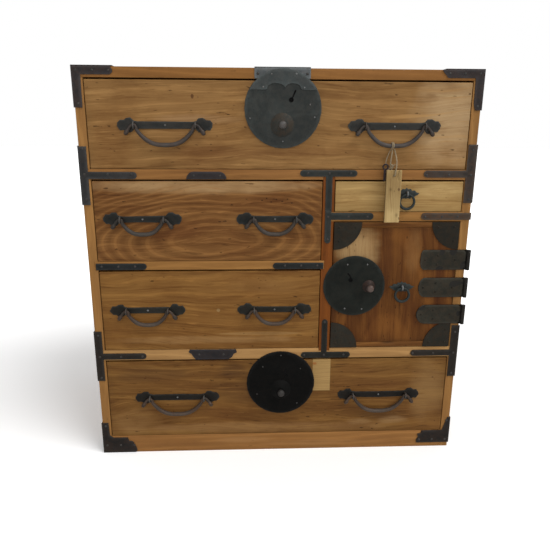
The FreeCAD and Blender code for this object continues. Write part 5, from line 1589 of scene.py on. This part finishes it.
# Irons on the case front: the finish and the outline of each.
CASE_FRONT: dict[str, tuple[str, Line]] = {
    "high_left_corner": ("top_corner", [
        (-OUTER, TOP), (-OUTER, 571), (-289, 571), (-288.5, 616.5), (-247, 616.8), (-243, 620), (-243, 624),
        (-246, TOP)]),
    "high_right_corner": ("top_corner", [
        (OUTER, TOP), (238, TOP), (240, 624), (247, 616.5), (288, 616.5), (288.6, 580), (291, 571),
        (OUTER, 571)]),
    "upper_left_tee": ("upper_left", edge_tee(-1, (429, 516), 289, (468.3, 478.8), 217)),
    "upper_right_tee": ("upper_right", edge_tee(1, (432, 521), 287, (471.3, 482), 221)),
    "upper_moon": ("moon", [(-143, 468.2), (-82, 468.2), *arc(-93, 468.6, 10.8, 5, 90, 6),
                            *arc(-132, 468.6, 10.8, 90, 175, 6)]),
    "divider_top_tee": ("divider", [
        (70, 420.6), (80, 420.6), (80, 472.4), *arc(113, 477.4, 5, -90, 90, 8),
        *arc(35, 477.4, 5, 90, 270, 8), (70, 472.4)]),
    "divider_side_tee": ("divider", [
        *arc(75, 373, 4.8, 180, 360, 9), (79.8, 405.8), *arc(141, 411.2, 5.4, -90, 90, 8), (80, 416.8),
        (80, 420.4), (70.2, 420.4)]),
    "mid_right_strap": ("mid_right", strap_line((222, OUTER), (405.4, 416.4), True, False)),
    "mid_left_strap": ("mid_left", strap_line((-289.0, -210), (326.6, 336.8), False, True)),
    "mid_inner_strap": ("mid_left", strap_line((-11, 69.8), (326.6, 336.8), True, False)),
    "divider_foot_tee": ("foot", [
        *arc(41.6, 177.8, 5.1, 90, 270, 8), *arc(114, 177.8, 5.1, -90, 90, 8), (79.6, 182.9),
        *arc(75, 236, 4.6, 0, 180, 8), (70.4, 182.9)]),
    "lower_left_tee": ("low_tee", edge_tee(-1, (136, 223), 289, (174, 184.4), 219)),
    "lower_right_tee": ("low_tee", edge_tee(1, (136, 228), 288, (174, 184.4), 221.5)),
    "lower_moon": ("moon", [(-147.5, 189.7), (-149.5, 185.5), (-145, 182.5), (-143, 178.5), (-138, 172.3),
                            (-84, 172.3), (-78, 176), (-75.5, 181.5), (-70, 184.5), (-71.5, 189.7)]),
    "low_left_corner": ("low_corner", [
        (-OUTER, 57), (-OUTER, 0.4), (-246, 0.4), (-244, 4), (-246, 12), (-250, 13.5), (-248.5, 18),
        (-252, 21.5), (-257, 22), (-259, 28.6), (-283, 28.8), (-289, 33), (-290, 57)]),
    "low_right_corner": ("low_corner", [
        (OUTER, 8), (OUTER, 57), (296, 57), (288, 31.8), (252.5, 31.6), (250.6, 26.5), (245, 25), (246.6, 19),
        (243.6, 14), (244, 8)]),
}


@dataclass
class Irons:
    """Sheet ironwork, hinges, lock works and pulls.

    Args:
        shop: makes the pieces.
        wrap: how far the irons reach round the corners onto the sides and the top.
        strike: left and right end of the strike plate, and its foot.
        strike_back: how far back it reaches over the top.
        leaf: left and right end of a hinge leaf.
        leaf_feet, leaf_high: lower ends of the leaves, and their height.
        leaf_gap: how far a leaf keeps from its ends.
        ring, ring_wire: radii of a pull's ring and of its wire.
        ring_drop: how far the ring's middle hangs below its leaf's.
    """

    shop: Shop
    wrap: float = 42.0
    strike: Point = (-39.0, 43.0, 613.3)
    strike_back: float = -154.0
    leaf: Pair = (226.4, 299.4)
    leaf_feet: tuple[float, ...] = (231.5, 277.75, 324.0)
    leaf_high: float = 33.0
    leaf_gap: float = 0.2
    ring: float = 11.2
    ring_wire: float = 1.75
    ring_drop: float = 11.2

    def case_front(self) -> None:
        """Every flat iron on the front of the case, each cut to its own outline, and the strike plate."""
        for number, (name, (tone, outline)) in enumerate(CASE_FRONT.items()):
            plate = on_front(sheet_iron(outline, IRON, 0.35, 3.6, 0.12, 0.1, 120 + number))
            node = "corner_irons" if "corner" in name else "rail_irons"
            self.shop.forged(f"{name}_iron", plate, "case", tone, node, slot="black_iron", crease=30.0)
        left, right, foot = self.strike
        outline = [(left, foot), (right, foot), (right, TOP), (left, TOP)]
        face = on_front(sheet_iron(outline, IRON, 0.35, 3.6, 0.15, 0.0, 151))
        over = slab((left, FRONT - IRON + 0.2, TOP), (right, self.strike_back, TOP + IRON), 0.3, 8.0, 0.05,
                    152)
        self.shop.forged("strike_plate_iron", joined([face, over.painted("wear", 0.1)]), "case", "strike",
                         slot="black_iron", crease=40.0)

    def bent(self, name: str, tone: str, across: Pair, up: Pair, uneven: float,
             seed: int) -> None:
        """One leg of an iron that turns round a corner.

        Args:
            name: the piece's name.
            tone: its iron.
            across, up: its ends across the case and in height.
            uneven, seed: height and number of its hammering.
        """
        front = FRONT - IRON + 0.2
        leg = slab((across[0], front, up[0]), (across[1], FRONT + self.wrap, up[1]), 0.35, 8.0, uneven, seed)
        self.shop.forged(name, leg.painted("wear", 0.12), "case", tone, slot="black_iron", crease=40.0)

    def case_sides(self) -> None:
        """The parts of the irons that turn round the corners onto the sides and the top."""
        for side, word in ((-1, "left"), (1, "right")):
            across = tuple(sorted((side * SIDE, side * OUTER)))
            for name, tone, low, high in (
                    ("high_corner", "top_corner", 571, TOP + IRON), ("upper_tee", f"upper_{word}", 432, 517),
                    ("lower_tee", "low_tee", 136, 223),
                    ("low_corner", "low_corner", 0.4 if side < 0 else 8.0, 57)):
                self.bent(f"{name}_{word}_wrap", tone, across, (low, high), 0.12, 160 + int(low) % 7)
            over = tuple(sorted((side * 243.0, side * OUTER)))
            self.bent(f"high_corner_{word}_over", "top_corner", over, (TOP, TOP + IRON), 0.1, 171)
        self.bent("mid_right_wrap", "mid_right", (SIDE, OUTER), (405.4, 416.4), 0.1, 175)

    def leaf_end(self, number: int, low: float, high: float) -> Line:
        """The free end of a hinge leaf, from its top: the upper one is clipped, the others half round."""
        x = self.leaf[0]
        if number == len(self.leaf_feet) - 1:
            return [(x + 4, high), (x + 1, high - 4), (x, high - 10), (x, low + 10), (x + 1.5, low + 4),
                    (x + 5, low)]
        middle, half = (low + high) / 2, (high - low) / 2
        squash = 0.62 if number == 1 else 0.85
        return [(x + half * squash * (1 - math.cos(a)), middle + half * math.sin(a))
                for a in np.radians(np.linspace(90, -90, 13))]

    def hinges(self) -> None:
        """Three leaves on the door with unlike ends, their knuckles, and the door's corner plates."""
        leaves = []
        for number, foot in enumerate(self.leaf_feet):
            low, high = foot + self.leaf_gap, foot + self.leaf_high - self.leaf_gap
            outline = [(self.leaf[1], low), (self.leaf[1], high), *self.leaf_end(number, low, high)]
            leaves.append(on_front(sheet_iron(outline, IRON, 0.35, 4.0, 0.25, 0.15, 180 + number), FACE))
        self.shop.forged("hinge_straps", joined(leaves), "door", "hinge", slot="black_iron", crease=30.0)
        irons = self.shop.looks.irons
        for node, name, body, tone, slot, edge, wear in (
                ("hinge_door_leaves", "hinge_door_knuckles", "door", "barrel", "black_iron", 0.25, 0.1),
                ("hinge_case_leaves", "hinge_case_plates", "case", "barrel", "black_iron", 0.3, 0.1),
                ("door_corner_irons", "door_corner_plates", "door", "door_corner", "black_iron", 0.25, 0.1),
                ("case_nails", "case_nail_heads", "case", "case_nail", "iron", 0.2, 0.3)):
            self.shop.eased(node, name, body, irons[tone], slot, edge, wear)

    def hidden(self) -> None:
        """Lock works and bolts behind the fronts."""
        works = self.shop.looks.irons["works"]
        for lock in (TOP_LOCK, BOTTOM_LOCK, DOOR_LOCK):
            word = lock.prefix
            self.shop.eased(f"{word}_lock_works", f"{word}_works_case", lock.body, works, "iron", 0.3)
            self.shop.eased(f"{word}_lock_bolt", f"{word}_bolt_bar", f"{word}_bolt", works, "iron", 0.3)

    def pulls(self) -> None:
        """Leaf-shaped pull plates with their rings."""
        half = [(0.0, 9.6), (2.2, 7.4), (6.2, 7.9), (8.6, 5.2), (13.2, 5.4), (15.2, 2.6), (20.4, 1.2),
                (16.6, -2.2), (13.6, -3.2), (12.4, -5.6), (8.2, -5.2), (6.4, -7.4), (2.6, -6.6), (0.0, -7.4)]
        outline = half + [(-u, v) for u, v in half[-2:0:-1]]
        for prefix, body, seed in (("door", "door", 5), ("small", "small_drawer", 9)):
            low, high = in_mm(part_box(f"{prefix}_pull_ring"))
            centre = tuple((a + b) / 2 for a, b in zip(low, high))
            x, z = centre[0], centre[2] + self.ring_drop
            leaf = on_front(sheet_iron(outline, 1.3, 0.4, 2.2, 0.15, 1.3, seed), FACE).moved(x, 0.0, z)
            self.shop.forged(f"{prefix}_pull_leaf", leaf, body, "leaf", f"{prefix}_pull_plate",
                             slot="black_iron",
                             crease=40.0)
            eye = looped((x, FACE - 5.6, z + 0.6), 3.6, 1.25, turns=26).painted("wear", 0.9)
            self.shop.forged(f"{prefix}_pull_eye", eye, body, "nail")
            ring = looped(centre, self.ring, self.ring_wire, "Y", 44, 0.28).painted("wear", 0.2)
            self.shop.forged(f"{prefix}_pull_hoop", ring, f"{prefix}_ring", "leaf", f"{prefix}_pull_ring")

    def build(self) -> None:
        """Makes them all."""
        self.case_front()
        self.case_sides()
        self.hinges()
        self.hidden()
        self.pulls()


# Control points of the twine: from the loop on the bail, down to the tag's hole, and back up.
TWINE_POINTS = (
    (0.1712, -0.1825, 0.5140), (0.1740, -0.1890, 0.5010), (0.1730, -0.1956, 0.4900),
    (0.1712, -0.1972, 0.4826), (0.1707, -0.1968, 0.4755), (0.1704, -0.1850, 0.4752),
    (0.1680, -0.1822, 0.4812), (0.1650, -0.1876, 0.4926), (0.1664, -0.1864, 0.5040),
    (0.1684, -0.1825, 0.5140))
TWINE_LENGTH, TWINE_THICK = 0.0939, 0.0018


@dataclass
class Hangings:
    """What hangs on the upper right bail: a wooden tag on twine, and a key on a string.

    Args:
        shop: makes the pieces.
        hole, hole_size: place and softness of the tag's hole.
        check: where the tag's split runs down from its top.
        strand, lay, pitch: radius of a strand, its distance from the middle, and its run per radian.
        hairs, hair: number and radius of the loose fibres.
        knot_place: where the two runs cross.
        string_start: middle of the key string's turn round the bail.
        string_points: the key's string, from the turn's foot to the key.
        turn, turn_wire: radii of the turns round the bail and of their twine.
        key_bow: middle of the key's ring.
    """

    shop: Shop
    hole: Pair = (170.5, 475.5)
    hole_size: float = 3.4
    check: float = 176.6
    strand: float = 0.50
    lay: float = 0.52
    pitch: float = 0.95
    hairs: int = 70
    hair: float = 0.07
    knot_place: Point = (168.6, -190.2, 490.5)
    string_start: Point = (167.175, -182.5, 519.5)
    string_points: tuple[Point, ...] = ((167.175, -182.5, 515.6), (163.975, -180.9, 509.1),
                                        (160.0, -182.5, 498.7), (158.8, -184.4, 491.7))
    turn: float = 3.9
    turn_wire: float = 0.90
    key_bow: Point = (158.8, -184.4, 488.0)

    def route(self, name: str, thick: float) -> bpy.types.Curve:
        """A curve through the twine's control points, as thick as given."""
        data = bpy.data.curves.new(name, "CURVE")
        data.dimensions = "3D"
        spline = data.splines.new("NURBS")
        spline.points.add(len(TWINE_POINTS) - 1)
        for point, place in zip(spline.points, TWINE_POINTS):
            point.co = (*place, 1.0)
        spline.order_u, spline.use_endpoint_u = 3, True
        data.resolution_u = 16
        data.bevel_depth, data.bevel_resolution = thick / 2, 4
        data.use_fill_caps = thick > 0
        return data

    def twined(self, name: str, shells: list[Shell], body: str = "tag", *stands_for: str) -> bpy.types.Object:
        """Makes a piece of twine."""
        return self.shop.made(name, joined(shells), body, self.shop.looks.twine, "twine", stands_for, 60.0)

    def twine(self) -> None:
        """The free twine, two slack strands laid round it, loose fibres and its frayed knot.

        A strand is the line plus a turning offset across it, whose angle grows with the way run.
        """
        tube = self.shop.placed("tag_twine", self.route("tag_twine", TWINE_THICK), "tag",
                                self.shop.looks.twine, "twine", ("tag_cord",))
        holder = bpy.data.objects.new("twine_line", self.route("twine_line", 0.0))
        line = np.array([tuple(v.co) for v in bpy.data.meshes.new_from_object(holder).vertices]) / MM
        bpy.data.objects.remove(holder)
        tangent = np.gradient(line, axis=0)
        tangent /= np.linalg.norm(tangent, axis=1, keepdims=True)
        side = np.cross(tangent, [0.3, 0.9, 0.1])
        side /= np.linalg.norm(side, axis=1, keepdims=True)
        other = np.cross(tangent, side)
        run = np.concatenate([[0.0], np.cumsum(np.linalg.norm(np.diff(line, axis=0), axis=1))])
        strands = []
        for start in (0.0, math.pi):
            turn = (start + run / self.pitch)[:, None]
            wound = line + self.lay * (np.cos(turn) * side + np.sin(turn) * other)
            strands.append(swept(wound, np.full(len(wound), self.strand), 8))
        rng = np.random.default_rng(12)
        hairs = []
        steps = np.linspace(0.0, 1.0, 5)[:, None]
        for _ in range(self.hairs):
            at = rng.integers(2, len(line) - 2)
            away = rng.normal(0.0, 1.0, 3) * (1.0, 0.6, 1.0)
            curl = rng.normal(0.0, 0.4, 3)
            hairs.append(swept(line[at] + steps * away * 1.6 + steps ** 2 * curl, np.full(5, self.hair), 4))
        fuzz = self.twined("twine_strands", strands)
        loose = self.twined("twine_fibres", hairs)
        knot = self.knot()

    def knot(self) -> bpy.types.Object:
        """A small overhand knot, a trefoil of sines and cosines, with two frayed ends."""
        centre = np.array(self.knot_place)
        angle = np.linspace(0.0, 2 * math.pi, 40)
        loop = np.column_stack([2.0 * np.sin(angle) + 1.2 * np.sin(2 * angle), 1.0 * np.sin(3 * angle),
                                1.3 * np.cos(angle) - 1.2 * np.cos(2 * angle)])
        parts = [swept(centre + loop, np.full(40, 0.85), 8)]
        rng = np.random.default_rng(4)
        steps = np.linspace(0.0, 1.0, 8)[:, None]
        for lean, reach in ((-1.0, 7.0), (-0.45, 9.0)):
            tail = centre + steps * (lean * 4.2, -1.6, -reach) + steps ** 2 * (lean * 1.2, 0.8, 2.6)
            parts.append(swept(tail, np.linspace(0.8, 0.55, 8), 8))
            for _ in range(14):
                spread = np.array([lean * 1.4, -0.3, -1.6]) + rng.normal(0.0, 0.9, 3)
                hair = tail[-1] + steps * spread * rng.uniform(0.8, 2.2)
                hair = hair + steps ** 2 * rng.normal(0.0, 0.5, 3)
                parts.append(swept(hair, np.full(8, 0.09), 4))
        return self.twined("twine_knot", parts)

    def tag(self) -> None:
        """A split block of pale wood, worn at its corners, with a check from the top and a dark hole.

        The front is pressed in by ridges along the grain, and by bell curves at the split and
        the hole, which are painted dark as well: painted shade in the split, and a painted dark
        hole, as no hole is cut. The left side is painted darker, painted shade, and the knots
        with the wood's own darker colour.
        """
        low, high = in_mm(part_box("tag"))
        block = slab(low, high, 0.7, 1.1, 0.12, 41)
        x, y, z = block.points.T
        front = np.clip(1 - (y - low[1]) / 1.2, 0, 1)
        ridges = 0.22 * np.sin(x * 3.1 + 0.9 * np.sin(z * 0.11))
        ridges = ridges + 0.18 * ripple(x * 5.0, z * 0.5, 42, 14.0)
        check = np.exp(-((x - self.check - 0.5 * np.sin(z * 0.3)) / 0.55) ** 2)
        check = check * np.clip((z - 467.0) / 5.0, 0, 1)
        hole = np.exp(-(((x - self.hole[0]) ** 2 + (z - self.hole[1]) ** 2) / self.hole_size) ** 2)
        block.points[:, 1] += front * (0.15 + 0.4 * np.abs(ridges) + 1.5 * check + 0.9 * hole)
        left = np.clip(1 - (x - low[0]) / 1.0, 0, 1)
        block.points[:, 0] += left * 0.35 * np.abs(ripple(y * 4.0, z, 43, 9.0))
        knots = np.exp(-((x - 166.0) ** 2 + ((z - 455.0) / 1.3) ** 2) / 3.0)
        knots += np.exp(-((x - 177.5) ** 2 + ((z - 416.0) / 1.5) ** 2) / 3.5)
        # darker in the split and the hole and on the left side face, painted shade; on the knots, the wood's
        # own colour
        grime = front * np.clip(check + hole + 0.8 * knots, 0, 1) + left * 0.45
        self.shop.made("tag_block", block.painted("grime", np.clip(grime, 0, 1)), "tag",
                       self.shop.looks.woods["tag"], "tag_wood", ("tag",), 50.0)

    def loops(self) -> None:
        """The two turns round the bail: the twine's, and the key's with its string."""
        for node, body, given in (("tag_loop_turn", "tag", None),
                                  ("tag_loop", "tag_loop", self.string_start)):
            low, high = in_mm(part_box(node))
            centre = given or tuple((a + b) / 2 for a, b in zip(low, high))
            ring = looped(centre, self.turn, self.turn_wire, turns=34)
            _, y, z = ring.points.T
            ring.points[:, 0] += 0.06 * np.sin(6 * np.arctan2(z - centre[2], y - centre[1]))
            parts = [ring]
            if body == "tag_loop":
                string = smooth_line(np.array(self.string_points), 30)
                parts.append(swept(string, np.full(len(string), 0.72), 8))
            self.twined(f"{node}_twine", parts, body, node)

    def key(self) -> None:
        """A small old key: a ring bow, a flat blade and its bit."""
        bow = looped(self.key_bow, 3.7, 1.25, "Y", 30).painted("wear", 0.4)
        blade = slab((156.4, -185.4, 467.2), (161.2, -183.4, 484.4), 0.4, 3.0, 0.1, 51)
        bit = slab((160.6, -185.3, 467.2), (163.7, -183.5, 472.0), 0.35, 2.0, 0.1, 52)
        shape = joined([bow, blade.painted("wear", 0.2), bit.painted("wear", 0.2)])
        self.shop.forged("hanging_key", shape, "tag_loop", "key", "key", crease=45.0)

    def build(self) -> None:
        """Makes them all."""
        self.twine()
        self.tag()
        self.loops()
        self.key()


def main() -> None:
    """Builds the scene, one class after another."""
    logging.basicConfig(level=logging.INFO, format="%(name)s %(message)s")
    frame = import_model()
    shop = Shop(make_looks(), frame["nodes"])
    studio = Studio()
    studio.camera()
    for builder in (Boards, Hangings, Irons, Handles, Locks):
        builder(shop).build()
    studio.ground()
    studio.light()


if __name__ == "__main__":
    main()
